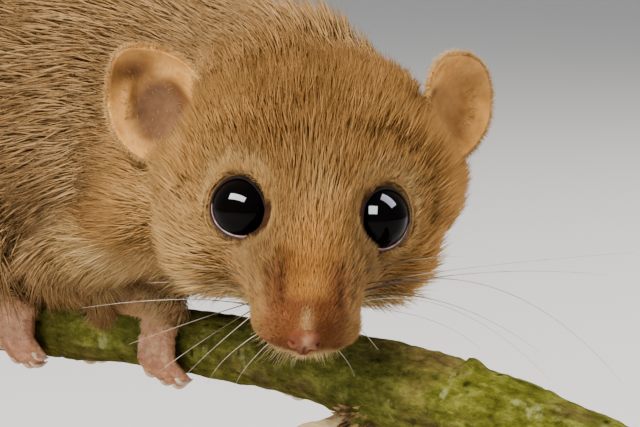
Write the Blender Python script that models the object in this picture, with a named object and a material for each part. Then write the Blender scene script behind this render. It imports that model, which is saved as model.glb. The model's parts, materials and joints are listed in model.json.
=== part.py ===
"""Hazel dormouse crouched on a cut branch, held by a plain display stand.

Sizes and places are millimetres until the last step, which turns them into metres.
+Z is up, the branch runs along X with the head at +X, and the animal's right side
faces -Y. The origin is the centre of the base's underside.
"""

import math

import bmesh
import bpy
import numpy as np
from mathutils import Matrix, Vector

MM = 0.001
GAP = 0.3

# Head, placed by the point midway between the eyes
EYE_MIDPOINT = Vector((40.0, -5.5, 45.0))
HEAD_TURN = -35.0
HEAD_DROP = 22.0
HEAD_TILT = -5.0
EYE_RADIUS = 2.35
EYE_OFFSET = 4.2
EYE_TURN = 45.0
EYE_LIFT = 27.0
LID_STAND = 1.25
LID_RING = 2.45
LID_THICKNESS = 0.45
NOSE_REACH = 9.7
NOSE_LEVEL = -3.9
NOSE_LEAN = -0.65
MOUTH_FRONT = 12.0
MOUTH_BACK = -3.0
MOUTH_LEVEL = -6.2
MOUTH_FALL = 0.07
JAW_HALF_WIDTH = 4.2
EAR_HALF_WIDTH = 3.5
EAR_HALF_HEIGHT = 4.3
EAR_DEPTH = 1.9
EAR_THICKNESS = 0.6
EAR_OPENING = (1.4, 3.9, 6.5)

# Head sections: forward of the eyes, half width, top, bottom, how much narrower the
# section is above than below, and how far it leans to the left
HEAD_SECTIONS = (
    (9.6, 2.2, -2.0, -5.8, -0.1, -0.65),
    (8.2, 3.3, -0.5, -6.8, -0.16, -0.5),
    (5.6, 4.4, 1.9, -7.6, -0.1, -0.35),
    (2.6, 5.6, 4.2, -8.3, 0.04, -0.15),
    (-0.5, 8.0, 6.2, -9.1, 0.1, 0.15),
    (-4.0, 10.5, 7.9, -9.7, 0.12, 0.3),
    (-8.0, 11.9, 8.7, -9.9, 0.12, 0.45),
    (-12.0, 11.5, 8.4, -9.7, 0.12, 0.4),
    (-16.0, 10.2, 7.4, -9.0, 0.1, 0.2),
)

# Body sections along the branch: x, y, z, half width, half height
BODY_SECTIONS = (
    (29.5, 0.4, 49.2, 10.4, 10.2),
    (24.0, 0.2, 48.4, 11.4, 11.6),
    (18.0, 0.0, 48.4, 12.2, 12.6),
    (10.0, 0.0, 49.0, 13.0, 13.5),
    (2.0, 0.0, 48.8, 13.6, 13.7),
    (-6.0, 0.0, 47.4, 12.8, 12.6),
    (-12.5, 0.0, 44.8, 9.8, 9.4),
    (-16.5, 0.0, 42.3, 6.0, 5.6),
)

# Branch: x, y, z of its middle, radius
BRANCH_STATIONS = (
    (-42.0, 0.6, 29.2, 2.8),
    (-20.0, -0.4, 30.2, 2.7),
    (0.0, 0.0, 31.0, 2.65),
    (12.0, 0.3, 31.9, 2.5),
    (24.0, 0.0, 32.5, 2.6),
    (36.0, -0.2, 32.7, 2.8),
    (45.0, 0.0, 32.1, 3.4),
    (55.0, 0.2, 31.0, 3.5),
    (64.0, 0.0, 29.6, 3.6),
    (72.0, -0.3, 28.1, 3.7),
)

# Tail: x, y, z of its middle, radius out to the hair tips
TAIL_STATIONS = (
    (-13.0, 0.0, 42.0, 3.0),
    (-21.0, 0.6, 38.9, 3.3),
    (-30.0, 1.6, 37.6, 3.6),
    (-40.0, 3.0, 37.0, 3.7),
    (-50.0, 4.6, 35.4, 3.7),
    (-60.0, 6.4, 32.0, 3.6),
    (-69.0, 8.0, 27.4, 3.2),
    (-75.0, 9.0, 23.6, 1.4),
)
TAIL_JOINTS = (-33.0, -53.0)

# Tail core: x and radius under the coat, wider where it leaves the body
TAIL_CORE = ((-13.0, 2.9), (-19.0, 2.7), (-26.0, 1.8), (-60.0, 1.7), (-68.0, 1.3), (-72.0, 0.7))

# Locks of the tail's coat
LOCK_FIRST = -17.5
LOCK_LAST = -68.5
LOCK_RINGS = 14
LOCKS_PER_RING = 6
LOCK_LENGTH = 7.6
LOCK_WIDTH = 3.1
LOCK_THICKNESS = 0.95
LOCK_ROOT = 0.55

# Legs of one side: x, distance out from the middle, z, radius with the coat
FORELEG = {
    "right": ((25.0, 8.2, 44.0, 4.4), (16.4, 10.4, 39.6, 3.2), (18.8, 7.0, 36.8, 2.0)),
    "left": ((26.0, 8.2, 43.6, 4.4), (18.5, 10.4, 39.4, 3.2), (28.0, 7.0, 36.6, 2.0)),
}
HIND_LEG = {
    "right": ((-4.0, 8.4, 43.5, 6.6), (5.6, 10.6, 40.0, 3.9), (-6.5, 5.6, 36.6, 2.0)),
    "left": ((-4.0, 8.4, 43.5, 6.6), (6.4, 10.6, 40.0, 3.9), (-5.5, 5.6, 36.6, 2.0)),
}
HAND_PLACE = {"right": 19.2, "left": 29.4}
FOOT_PLACE = {"right": 0.4, "left": 2.8}
SIDE_SIGN = {"right": -1.0, "left": 1.0}
FINGER_RADIUS = 0.6
TOE_RADIUS = 0.6
CLAW_RADIUS = 0.22

# Ear of each side in the head's own directions: middle, facing, rise to the tip,
# how much narrower the leaf is at its tip, and its size beside the ear's own
EARS = {
    "right": (Vector((-9.6, -11.3, 2.9)), Vector((0.80, -0.42, 0.42)), Vector((-0.35, -0.58, 0.78)), 0.2, 1.0),
    "left": (Vector((-9.6, 11.3, 4.1)), Vector((0.62, 0.64, 0.42)), Vector((-0.60, 0.34, 0.62)), -0.14, 0.98),
}

# Stand
BASE_LENGTH = 110.0
BASE_WIDTH = 56.0
BASE_HEIGHT = 6.0
BASE_EDGE = 1.2
ROD_RADIUS = 1.8
ROD_DEPTH = 2.0
ROD_PLACES = {"front": 46.0, "rear": -24.0}

# Neck cuts, a point and a direction that leads to the head: the first one in the
# head's own directions, from the nape to the throat, the second in front of the shoulders
HEAD_JOINT = (Vector((-9.3, 0.0, -1.0)), Vector((0.91, 0.0, 0.42)))
NECK_JOINT = (Vector((24.5, 0.0, 48.0)), Vector((0.93, -0.36, 0.0)))

# Fineness of the flesh. The exact solver loses faces of the melted flesh, so its
# cuts take the manifold solver.
FLESH_VOXEL = 0.34
FLESH_SMOOTHING = 8
FLESH_FACES = 9000
FLESH_SOLVER = "MANIFOLD"
FLESH_GAP = 0.42
REGION_VOXEL = 0.4
REGION_FACES = 500
PAW_VOXEL = 0.2
PAW_FACES = 360

# Fineness of each node once its cuts are made, and the triangles that it keeps
NODE_FINISH = {
    "head": (0.18, 2900),
    "lower_jaw": (0.2, 220),
    "neck": (0.35, 400),
    "torso": (0.35, 1600),
    "foreleg_right": (0.25, 360),
    "foreleg_left": (0.25, 360),
    "hind_leg_right": (0.3, 460),
    "hind_leg_left": (0.3, 460),
}

HEAD_FRAME = (
    Matrix.Translation(EYE_MIDPOINT)
    @ Matrix.Rotation(math.radians(HEAD_TURN), 4, "Z")
    @ Matrix.Rotation(math.radians(HEAD_DROP), 4, "Y")
    @ Matrix.Rotation(math.radians(HEAD_TILT), 4, "X")
)
WORLD_FRAME = Matrix.Identity(4)


def clear_scene():
    for item in list(bpy.data.objects):
        bpy.data.objects.remove(item, do_unlink=True)


def remove(item):
    mesh = item.data
    bpy.data.objects.remove(item, do_unlink=True)
    bpy.data.meshes.remove(mesh)


def to_object(name, shape):
    """Turn a bmesh into a named object of the scene."""
    mesh = bpy.data.meshes.new(name)
    shape.to_mesh(mesh)
    shape.free()
    item = bpy.data.objects.new(name, mesh)
    bpy.context.scene.collection.objects.link(item)
    return item


def from_object(item):
    shape = bmesh.new()
    shape.from_mesh(item.data)
    return shape


def duplicate(item, name):
    copy = bpy.data.objects.new(name, item.data.copy())
    bpy.context.scene.collection.objects.link(copy)
    return copy


def apply_modifier(item, kind, **settings):
    """Add one modifier, and replace the mesh by its result."""
    modifier = item.modifiers.new(kind.title(), kind)
    for key, value in settings.items():
        setattr(modifier, key, value)
    graph = bpy.context.evaluated_depsgraph_get()
    result = bpy.data.meshes.new_from_object(item.evaluated_get(graph))
    item.modifiers.clear()
    former = item.data
    item.data = result
    bpy.data.meshes.remove(former)


def join(name, items):
    """Gather closed forms in one object, still overlapping."""
    shape = bmesh.new()
    for item in items:
        shape.from_mesh(item.data)
        remove(item)
    return to_object(name, shape)


def fuse(name, items, voxel, smoothing):
    """Melt overlapping forms into one skin and soften the joins."""
    whole = join(name, items)
    apply_modifier(whole, "REMESH", mode="VOXEL", voxel_size=voxel)
    apply_modifier(whole, "SMOOTH", factor=0.5, iterations=smoothing)
    return whole


def simplify(item, faces):
    """Bring a mesh down to about the stated number of triangles."""
    item.data.calc_loop_triangles()
    share = faces / len(item.data.loop_triangles)
    if share < 1.0:
        apply_modifier(item, "DECIMATE", ratio=share)


def finish_node(item, voxel, faces):
    """Even out the mesh of a node that has been cut, then coarsen it."""
    apply_modifier(item, "REMESH", mode="VOXEL", voxel_size=voxel)
    simplify(item, faces)
    keep_largest(item)


def keep_largest(item):
    """Keep the closed surface of the greatest area."""
    shape = from_object(item)
    waiting = set(shape.faces)
    pieces = []
    while waiting:
        front = [waiting.pop()]
        piece = list(front)
        while front:
            face = front.pop()
            for edge in face.edges:
                for neighbour in edge.link_faces:
                    if neighbour in waiting:
                        waiting.remove(neighbour)
                        front.append(neighbour)
                        piece.append(neighbour)
        pieces.append(piece)
    pieces.sort(key=lambda piece: sum(face.calc_area() for face in piece))
    scrap = [face for piece in pieces[:-1] for face in piece]
    bmesh.ops.delete(shape, geom=scrap, context="FACES")
    shape.to_mesh(item.data)
    shape.free()


def carve(item, operation, tools, solver="EXACT"):
    """Apply one Boolean with a collection of tools, then remove the tools."""
    group = bpy.data.collections.new("tools")
    for tool in tools:
        group.objects.link(tool)
    apply_modifier(
        item, "BOOLEAN", operation=operation, operand_type="COLLECTION", collection=group, solver=solver
    )
    for tool in tools:
        remove(tool)
    bpy.data.collections.remove(group)
    keep_largest(item)


def trim(item, point, direction):
    """Cut an object by a plane, keep the side that the direction leads to, and close it."""
    shape = from_object(item)
    everything = list(shape.verts) + list(shape.edges) + list(shape.faces)
    bmesh.ops.bisect_plane(shape, geom=everything, plane_co=point, plane_no=direction, clear_inner=True)
    rim = [edge for edge in shape.edges if edge.is_boundary]
    bmesh.ops.triangle_fill(shape, edges=rim, use_beauty=True)
    bmesh.ops.recalc_face_normals(shape, faces=shape.faces)
    shape.to_mesh(item.data)
    shape.free()


def smooth_path(stations, steps):
    """Read a smooth curve through stations, which may carry radii as further values."""
    rows = [np.array(station, dtype=float) for station in stations]
    rows = [2.0 * rows[0] - rows[1]] + rows + [2.0 * rows[-1] - rows[-2]]
    path = []
    for index in range(1, len(rows) - 2):
        before, start, end, after = rows[index - 1 : index + 3]
        for step in range(steps):
            part = step / steps
            bend = 2.0 * before - 5.0 * start + 4.0 * end - after
            turn = 3.0 * start - before - 3.0 * end + after
            path.append(start + 0.5 * part * ((end - before) + part * (bend + part * turn)))
    path.append(rows[-2])
    return path


def shell(name, rings, first_pole, last_pole):
    """Close a row of equal rings into one body, with a pole at each end."""
    shape = bmesh.new()
    rows = [[shape.verts.new(point) for point in ring] for ring in rings]
    count = len(rows[0])
    for row, following in zip(rows, rows[1:]):
        for index in range(count):
            after = (index + 1) % count
            shape.faces.new((row[index], row[after], following[after], following[index]))
    for pole, row in ((first_pole, rows[0]), (last_pole, rows[-1])):
        tip = shape.verts.new(pole)
        for index in range(count):
            shape.faces.new((tip, row[index], row[(index + 1) % count]))
    bmesh.ops.recalc_face_normals(shape, faces=shape.faces)
    return to_object(name, shape)


def ring_round(centre, tangent, half_width, half_height, sides):
    """Points of an ellipse across a tangent, its width kept level."""
    across = Vector((0.0, 0.0, 1.0)).cross(tangent)
    if across.length < 0.2:
        across = Vector((0.0, 1.0, 0.0)).cross(tangent)
    across.normalize()
    rise = tangent.cross(across).normalized()
    angles = [2.0 * math.pi * index / sides for index in range(sides)]
    return [
        centre + across * (half_width * math.cos(angle)) + rise * (half_height * math.sin(angle))
        for angle in angles
    ]


def tube(name, stations, sides=16, steps=5, rounding=3):
    """Closed round form through stations of x, y, z and one or two radii."""
    path = smooth_path(stations, steps)
    points = [Vector(row[:3]) for row in path]
    sizes = [(row[3], row[-1]) for row in path]
    tangents = []
    for index in range(len(points)):
        before = points[max(index - 1, 0)]
        after = points[min(index + 1, len(points) - 1)]
        tangents.append((after - before).normalized())
    rings = []
    for point, tangent, size in zip(points, tangents, sizes):
        rings.append(ring_round(point, tangent, size[0], size[1], sides))
    poles = []
    for end, outward in ((0, -1.0), (-1, 1.0)):
        reach = min(sizes[end])
        caps = []
        for step in range(1, rounding + 1):
            angle = 0.5 * math.pi * step / (rounding + 1)
            centre = points[end] + tangents[end] * (outward * reach * math.sin(angle))
            width = sizes[end][0] * math.cos(angle)
            height = sizes[end][1] * math.cos(angle)
            caps.append(ring_round(centre, tangents[end], width, height, sides))
        rings = list(reversed(caps)) + rings if end == 0 else rings + caps
        poles.append(points[end] + tangents[end] * (outward * reach))
    return shell(name, rings, poles[0], poles[1])


def ellipsoid(name, centre, radii, frame=WORLD_FRAME, segments=28, rings=18):
    shape = bmesh.new()
    bmesh.ops.create_uvsphere(shape, u_segments=segments, v_segments=rings, radius=1.0)
    place = frame @ Matrix.Translation(centre) @ Matrix.Diagonal((*radii, 1.0))
    bmesh.ops.transform(shape, matrix=place, verts=shape.verts)
    return to_object(name, shape)


def ball(name, centre, radius, subdivisions=3):
    shape = bmesh.new()
    bmesh.ops.create_icosphere(shape, subdivisions=subdivisions, radius=radius)
    bmesh.ops.translate(shape, vec=centre, verts=shape.verts)
    return to_object(name, shape)


def axis_frame(origin, direction):
    """Frame whose Z runs along a direction."""
    turn = Vector(direction).normalized().to_track_quat("Z", "Y").to_matrix().to_4x4()
    return Matrix.Translation(origin) @ turn


def cone(name, origin, direction, start_radius, end_radius, length, sides=32):
    shape = bmesh.new()
    bmesh.ops.create_cone(
        shape, cap_ends=True, segments=sides, radius1=start_radius, radius2=end_radius, depth=length
    )
    lift = Matrix.Translation((0.0, 0.0, 0.5 * length))
    bmesh.ops.transform(shape, matrix=axis_frame(origin, direction) @ lift, verts=shape.verts)
    return to_object(name, shape)


def torus(name, origin, direction, ring_radius, thickness, ring_steps=32, sides=10):
    frame = axis_frame(origin, direction)
    shape = bmesh.new()
    rows = []
    for step in range(ring_steps):
        around = 2.0 * math.pi * step / ring_steps
        out = Vector((math.cos(around), math.sin(around), 0.0))
        row = []
        for side in range(sides):
            angle = 2.0 * math.pi * side / sides
            reach = ring_radius + thickness * math.cos(angle)
            row.append(shape.verts.new(frame @ (out * reach + Vector((0.0, 0.0, thickness * math.sin(angle))))))
        rows.append(row)
    for step in range(ring_steps):
        row = rows[step]
        following = rows[(step + 1) % ring_steps]
        for side in range(sides):
            after = (side + 1) % sides
            shape.faces.new((row[side], row[after], following[after], following[side]))
    bmesh.ops.recalc_face_normals(shape, faces=shape.faces)
    return to_object(name, shape)


def material(item, colour, roughness, metallic=0.0):
    finish = bpy.data.materials.new(item.name)
    finish.use_nodes = True
    surface = finish.node_tree.nodes["Principled BSDF"]
    surface.inputs["Base Color"].default_value = (*colour, 1.0)
    surface.inputs["Roughness"].default_value = roughness
    surface.inputs["Metallic"].default_value = metallic
    item.data.materials.clear()
    item.data.materials.append(finish)


BRANCH_LINE = np.array(smooth_path(BRANCH_STATIONS, 8))


def branch_at(x):
    """Middle of the branch and its radius at one place along it."""
    y, z, radius = (float(np.interp(x, BRANCH_LINE[:, 0], BRANCH_LINE[:, row])) for row in (1, 2, 3))
    return Vector((x, y, z)), radius


def on_branch(x, angle, lift, side):
    """Point over the bark, its angle in degrees from the top towards one side."""
    middle, radius = branch_at(x)
    turn = math.radians(angle)
    out = Vector((0.0, SIDE_SIGN[side] * math.sin(turn), math.cos(turn)))
    return middle + out * (radius + lift)


def eye_centre(side):
    return HEAD_FRAME @ Vector((0.0, SIDE_SIGN[side] * EYE_OFFSET, 0.0))


def eye_direction(side):
    turn = math.radians(EYE_TURN)
    lift = math.radians(EYE_LIFT)
    forward = math.cos(lift) * math.cos(turn)
    out = math.cos(lift) * math.sin(turn) * SIDE_SIGN[side]
    return HEAD_FRAME.to_3x3() @ Vector((forward, out, math.sin(lift)))


def head_sections():
    """Skull, cheeks and muzzle through the head's sections."""
    sides = 32
    rings = []
    for forward, half_width, top, bottom, taper, lean in smooth_path(HEAD_SECTIONS, 4):
        middle = 0.5 * (top + bottom)
        half_height = 0.5 * (top - bottom)
        ring = []
        for index in range(sides):
            angle = 2.0 * math.pi * index / sides
            width = lean + half_width * math.cos(angle) * (1.0 - taper * math.sin(angle))
            ring.append(HEAD_FRAME @ Vector((forward, width, middle + half_height * math.sin(angle))))
        rings.append(ring)
    first = HEAD_SECTIONS[0]
    last = HEAD_SECTIONS[-1]
    front = HEAD_FRAME @ Vector((first[0] + 0.6, NOSE_LEAN, 0.5 * (first[2] + first[3])))
    back = HEAD_FRAME @ Vector((last[0] - 3.0, 0.0, 0.5 * (last[2] + last[3])))
    return shell("skull", rings, front, back)


def head_forms():
    """Overlapping forms of the head, before they are melted together."""
    forms = [head_sections()]
    nose = Vector((NOSE_REACH, NOSE_LEAN, NOSE_LEVEL))
    forms.append(ellipsoid("nose", nose, (1.0, 1.45, 1.2), HEAD_FRAME))
    forms.append(ellipsoid("chin", Vector((3.0, -0.1, -6.5)), (5.6, 2.8, 1.9), HEAD_FRAME))
    for side in SIDE_SIGN:
        out = SIDE_SIGN[side]
        pad = Vector((7.0, 2.2 * out + 0.5 * NOSE_LEAN, -4.7))
        forms.append(ellipsoid("pad", pad, (2.8, 2.0, 2.2), HEAD_FRAME))
        cheek = Vector((-4.5, 5.6 * out, -4.0))
        forms.append(ellipsoid("cheek", cheek, (6.5, 5.0, 5.2), HEAD_FRAME))
        brow = Vector((-0.6, 4.2 * out, 0.4))
        forms.append(ellipsoid("brow", brow, (3.0, 3.0, 3.0), HEAD_FRAME))
    return forms


def leg_stations(places, side, swell=0.0):
    return [(x, SIDE_SIGN[side] * out, z, radius + swell) for x, out, z, radius in places]


def leg_bones(places, side, swell=0.0):
    """One tube for each bone of a leg, with its flesh."""
    stations = leg_stations(places, side, swell)
    return [tube("bone", pair, steps=3) for pair in zip(stations, stations[1:])]


def flesh():
    """The whole furred body as one skin, before it is parted."""
    forms = head_forms()
    forms.append(tube("body", BODY_SECTIONS, sides=36, steps=4, rounding=4))
    for side in SIDE_SIGN:
        forms += leg_bones(FORELEG[side], side)
        forms += leg_bones(HIND_LEG[side], side)
    return fuse("flesh", forms, FLESH_VOXEL, FLESH_SMOOTHING)


def slab(name, rows):
    """Closed block from eight corners: four below, then the four above them."""
    shape = bmesh.new()
    corners = [shape.verts.new(row) for row in rows]
    for face in ((3, 2, 1, 0), (4, 5, 6, 7), (0, 1, 5, 4), (1, 2, 6, 5), (2, 3, 7, 6), (3, 0, 4, 7)):
        shape.faces.new([corners[index] for index in face])
    bmesh.ops.recalc_face_normals(shape, faces=shape.faces)
    return to_object(name, shape)


def jaw_region(swell):
    """Block that holds the lower jaw, its slanted top being the line of the mouth."""
    wide = JAW_HALF_WIDTH + swell
    deep = MOUTH_LEVEL - 10.0
    back = MOUTH_BACK - swell
    corners = []
    for level in ("deep", "mouth"):
        for forward, out in ((back, -wide), (MOUTH_FRONT, -wide), (MOUTH_FRONT, wide), (back, wide)):
            height = deep if level == "deep" else MOUTH_LEVEL - MOUTH_FALL * forward + swell
            corners.append(HEAD_FRAME @ Vector((forward, out, height)))
    return slab("jaw_region", corners)


def ear_directions(side):
    """Directions across, up and out of the cup of one ear, in the head's own frame."""
    facing = EARS[side][1].normalized()
    rise = EARS[side][2]
    rise = (rise - facing * rise.dot(facing)).normalized()
    across = rise.cross(facing)
    if across.y * SIDE_SIGN[side] < 0.0:
        across = -across
    return across, rise, facing


def ear_opening(side):
    """Funnel cut from the head in front of the ear's leaf."""
    facing = HEAD_FRAME.to_3x3() @ ear_directions(side)[2]
    bottom = HEAD_FRAME @ EARS[side][0] - facing * (0.6 * EAR_DEPTH)
    return cone("opening", bottom, facing, *EAR_OPENING)


def ear_form(name, side, swell=0.0):
    """Cupped ear leaf with a rim, thickened both ways from its middle surface."""
    middle, narrowing, scale = (EARS[side][0], EARS[side][3], EARS[side][4])
    across, rise, facing = ear_directions(side)
    sectors = 20
    circles = 4
    shape = bmesh.new()

    def leaf_point(share, angle):
        outline = 1.0 + 0.05 * math.cos(2.0 * angle) - narrowing * math.sin(angle)
        wide = (EAR_HALF_WIDTH * scale + swell) * share * outline * math.cos(angle)
        high = (EAR_HALF_HEIGHT * scale + swell) * share * math.sin(angle)
        sink = EAR_DEPTH * (1.0 - share * share)
        return HEAD_FRAME @ (middle + across * wide + rise * high - facing * sink)

    rows = []
    for circle in range(1, circles + 1):
        share = circle / circles
        angles = [2.0 * math.pi * sector / sectors for sector in range(sectors)]
        rows.append([shape.verts.new(leaf_point(share, angle)) for angle in angles])
    centre = shape.verts.new(leaf_point(0.0, 0.0))
    for sector in range(sectors):
        after = (sector + 1) % sectors
        shape.faces.new((centre, rows[0][sector], rows[0][after]))
        for row, following in zip(rows, rows[1:]):
            shape.faces.new((row[sector], following[sector], following[after]))
            shape.faces.new((row[sector], following[after], row[after]))
    bmesh.ops.recalc_face_normals(shape, faces=shape.faces)
    item = to_object(name, shape)
    apply_modifier(item, "SOLIDIFY", thickness=EAR_THICKNESS + 2.0 * swell, offset=0.0, use_even_offset=True)
    return item


def eyes():
    return {side: ball("eye_" + side, eye_centre(side), EYE_RADIUS) for side in SIDE_SIGN}


def finish_head(head):
    """Cut the eye openings, build the lids, and open nostrils and the groove of the lip."""
    openings = []
    lids = []
    sockets = []
    for side in SIDE_SIGN:
        centre = eye_centre(side)
        direction = eye_direction(side)
        openings.append(cone("opening", centre + direction * 1.0, direction, 2.5, 3.8, 3.4))
        lids.append(torus("lid", centre + direction * LID_STAND, direction, LID_RING, LID_THICKNESS))
        sockets.append(ball("socket", centre, EYE_RADIUS + GAP, subdivisions=4))
    carve(head, "DIFFERENCE", openings, FLESH_SOLVER)
    carve(head, "UNION", lids, FLESH_SOLVER)
    carve(head, "DIFFERENCE", sockets, FLESH_SOLVER)
    groove = Vector((NOSE_REACH - 0.1, NOSE_LEAN, NOSE_LEVEL - 2.3))
    details = [ellipsoid("groove", groove, (1.3, 0.3, 1.4), HEAD_FRAME, 12, 8)]
    for side in SIDE_SIGN:
        nostril = Vector((NOSE_REACH + 0.6, NOSE_LEAN + 0.95 * SIDE_SIGN[side], NOSE_LEVEL))
        details.append(ellipsoid("nostril", nostril, (0.8, 0.42, 0.4), HEAD_FRAME, 12, 8))
        details.append(ear_opening(side))
    carve(head, "DIFFERENCE", details, FLESH_SOLVER)


def paw(name, side, places, swell):
    """Melt the tubes of one hand or foot, each given by its stations."""
    forms = []
    for stations in places:
        rows = [(*row[:3], row[3] + swell) for row in stations]
        forms.append(tube("digit", rows, sides=12, steps=4, rounding=2))
    item = fuse(name, forms, PAW_VOXEL, 2)
    return item


def digit(side, x_start, x_end, start_angle, end_angle, radius):
    """Stations of one digit bent round the bark, ending in its claw."""
    stations = []
    steps = 4
    for step in range(steps + 1):
        share = step / steps
        angle = start_angle + (end_angle - start_angle) * share
        x = x_start + (x_end - x_start) * share
        point = on_branch(x, angle, radius + GAP + 0.25 * math.sin(math.pi * share), side)
        stations.append((*point, radius * (1.0 - 0.12 * share)))
    claw_end = on_branch(x_end, end_angle + 14.0, CLAW_RADIUS + GAP, side)
    claw_root = on_branch(x_end, end_angle, 1.4 * radius + GAP, side)
    claw = [(*claw_root, 0.36), (*(0.5 * (claw_root + claw_end)), 0.3), (*claw_end, CLAW_RADIUS)]
    return [stations, claw]


def hand(name, side, swell=0.0):
    """Wrist, palm and four fingers closed round the branch."""
    x = HAND_PLACE[side]
    wrist = leg_stations(FORELEG[side], side)[-1]
    heel = on_branch(x - 0.3, 34.0, 1.5, side)
    palm = on_branch(x, 62.0, 1.2, side)
    forms = [[(*wrist[:3], 1.5), (*heel, 1.6), (*palm, 1.4)]]
    for row, spread in enumerate((-1.95, -0.65, 0.65, 1.95)):
        knuckle = on_branch(x + 0.55 * spread, 66.0, 1.1, side)
        forms.append([(*palm, 1.0), (*knuckle, 0.8)])
        end_angle = (128.0, 142.0, 146.0, 132.0)[row]
        forms += digit(side, x + 0.6 * spread, x + spread, 66.0, end_angle, FINGER_RADIUS)
    return paw(name, side, forms, swell)


def foot(name, side, swell=0.0):
    """Heel, sole and five toes of a hind foot gripping the branch."""
    x = FOOT_PLACE[side]
    ankle = leg_stations(HIND_LEG[side], side)[-1]
    heel = on_branch(x - 9.0, 30.0, 1.4, side)
    sole = on_branch(x - 4.5, 46.0, 1.25, side)
    bend = on_branch(x, 60.0, 1.2, side)
    forms = [[(*ankle[:3], 1.3), (*heel, 1.3), (*sole, 1.2), (*bend, 1.25)]]
    for row, spread in enumerate((-2.3, -1.1, 0.1, 1.3, 2.4)):
        knuckle = on_branch(x + 0.55 * spread, 64.0, 1.1, side)
        forms.append([(*bend, 1.05), (*knuckle, 0.85)])
        end_angle = (108.0, 132.0, 140.0, 136.0, 120.0)[row]
        forms += digit(side, x + 0.6 * spread, x + spread, 64.0, end_angle, TOE_RADIUS)
    return paw(name, side, forms, swell)


def branch_form(name, swell=0.0, sides=14, steps=3):
    """Knotty cut branch, its ends sawn flat by the trim."""
    rows = [(x, y, z, radius + swell) for x, y, z, radius in BRANCH_STATIONS]
    return tube(name, rows, sides=sides, steps=steps, rounding=1)


def branch():
    """The perch: a cut branch with a bud and the stump of a side twig."""
    item = branch_form("perch_branch")
    bud, radius = branch_at(51.2)
    forms = [ellipsoid("bud", bud + Vector((0.0, -0.4, radius + 0.2)), (0.9, 0.8, 0.75), WORLD_FRAME, 12, 8)]
    root, radius = branch_at(42.0)
    twig = [
        (*(root + Vector((1.5, -1.6, -0.9))), 1.25),
        (*(root + Vector((-0.8, -3.6, -2.6))), 1.0),
        (*(root + Vector((-4.2, -5.2, -3.9))), 0.85),
    ]
    forms.append(tube("twig", twig, sides=12, steps=4, rounding=1))
    carve(item, "UNION", forms)
    for end, direction in ((BRANCH_STATIONS[0], 1.0), (BRANCH_STATIONS[-1], -1.0)):
        trim(item, Vector(end[:3]), Vector((direction, 0.0, 0.0)))
    return item


TAIL_LINE = np.array(smooth_path(TAIL_STATIONS, 8))


def tail_at(x):
    """Middle of the tail, its direction to the tip, and its radius out to the hair tips."""
    y, z, radius = (float(np.interp(-x, -TAIL_LINE[:, 0], TAIL_LINE[:, row])) for row in (1, 2, 3))
    y_on, z_on = (float(np.interp(1.0 - x, -TAIL_LINE[:, 0], TAIL_LINE[:, row])) for row in (1, 2))
    return Vector((x, y, z)), Vector((-1.0, y_on - y, z_on - z)).normalized(), radius


def tail_core_radius(x):
    places = [-place for place, radius in TAIL_CORE]
    return float(np.interp(-x, places, [radius for place, radius in TAIL_CORE]))


def tail_clearance():
    """Room that the torso and the legs leave about the root of the tail."""
    rows = [(*row[:3], row[3] + GAP) for row in smooth_path(TAIL_STATIONS, 4)]
    return tube("clearance", rows, sides=14, steps=1, rounding=3)


def tail_core():
    path = [row for row in smooth_path(TAIL_STATIONS, 4) if row[0] > TAIL_CORE[-1][0]]
    rows = [(*row[:3], tail_core_radius(row[0])) for row in path]
    return tube("tail", rows, sides=12, steps=1, rounding=2)


def lock(x, angle, length):
    """Flat tapered lock that leaves the core at a slant and bends back along the tail."""
    middle, along, reach = tail_at(x)
    across = Vector((0.0, 0.0, 1.0)).cross(along).normalized()
    up = along.cross(across)
    out = across * math.cos(angle) + up * math.sin(angle)
    wide = along.cross(out)
    root = LOCK_ROOT * tail_core_radius(x)
    tip_middle, _, tip_reach = tail_at(max(x - length, TAIL_STATIONS[-1][0]))
    span = tip_middle - middle
    rise = tip_reach - root
    rings = []
    for share, taper in ((0.0, 0.75), (0.35, 1.0), (0.72, 0.8)):
        lift = root + rise * math.sin(0.5 * math.pi * share ** 0.8)
        centre = middle + span * share + out * lift
        half_width = wide * (0.5 * LOCK_WIDTH * taper)
        half_height = out * (0.5 * LOCK_THICKNESS * taper)
        rings.append([centre + half_width, centre + half_height, centre - half_width, centre - half_height])
    base = middle + out * (0.5 * root)
    tip = middle + span + out * (tip_reach - 0.3)
    return shell("lock", rings, base, tip)


def tail_locks():
    """Rings of locks, each ring turned half a lock from the one before."""
    locks = []
    for ring in range(LOCK_RINGS):
        x = LOCK_FIRST + (LOCK_LAST - LOCK_FIRST) * ring / (LOCK_RINGS - 1)
        for row in range(LOCKS_PER_RING):
            angle = 2.0 * math.pi * (row + 0.5 * (ring % 2)) / LOCKS_PER_RING
            uneven = math.sin(5.0 * row + 3.0 * ring)
            locks.append(lock(x + 0.5 * uneven, angle + 0.1 * uneven, LOCK_LENGTH + 0.6 * uneven))
    return locks


def tail_nodes():
    """Core and locks fused, then cut into the lengths of the tail."""
    whole = tail_core()
    carve(whole, "UNION", tail_locks())
    lengths = []
    bounds = (TAIL_STATIONS[0][0] + 10.0, *TAIL_JOINTS, TAIL_STATIONS[-1][0] - 10.0)
    for name, front, back in zip(("tail_base", "tail_middle", "tail_tip"), bounds, bounds[1:]):
        item = duplicate(whole, name)
        near = front - 0.5 * GAP
        far = back + 0.5 * GAP
        corners = [(near, -20.0), (far, -20.0), (far, 30.0), (near, 30.0)]
        block = slab("block", [(x, y, z) for z in (0.0, 60.0) for x, y in corners])
        carve(item, "INTERSECT", [block], FLESH_SOLVER)
        lengths.append(item)
    remove(whole)
    return lengths


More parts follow.
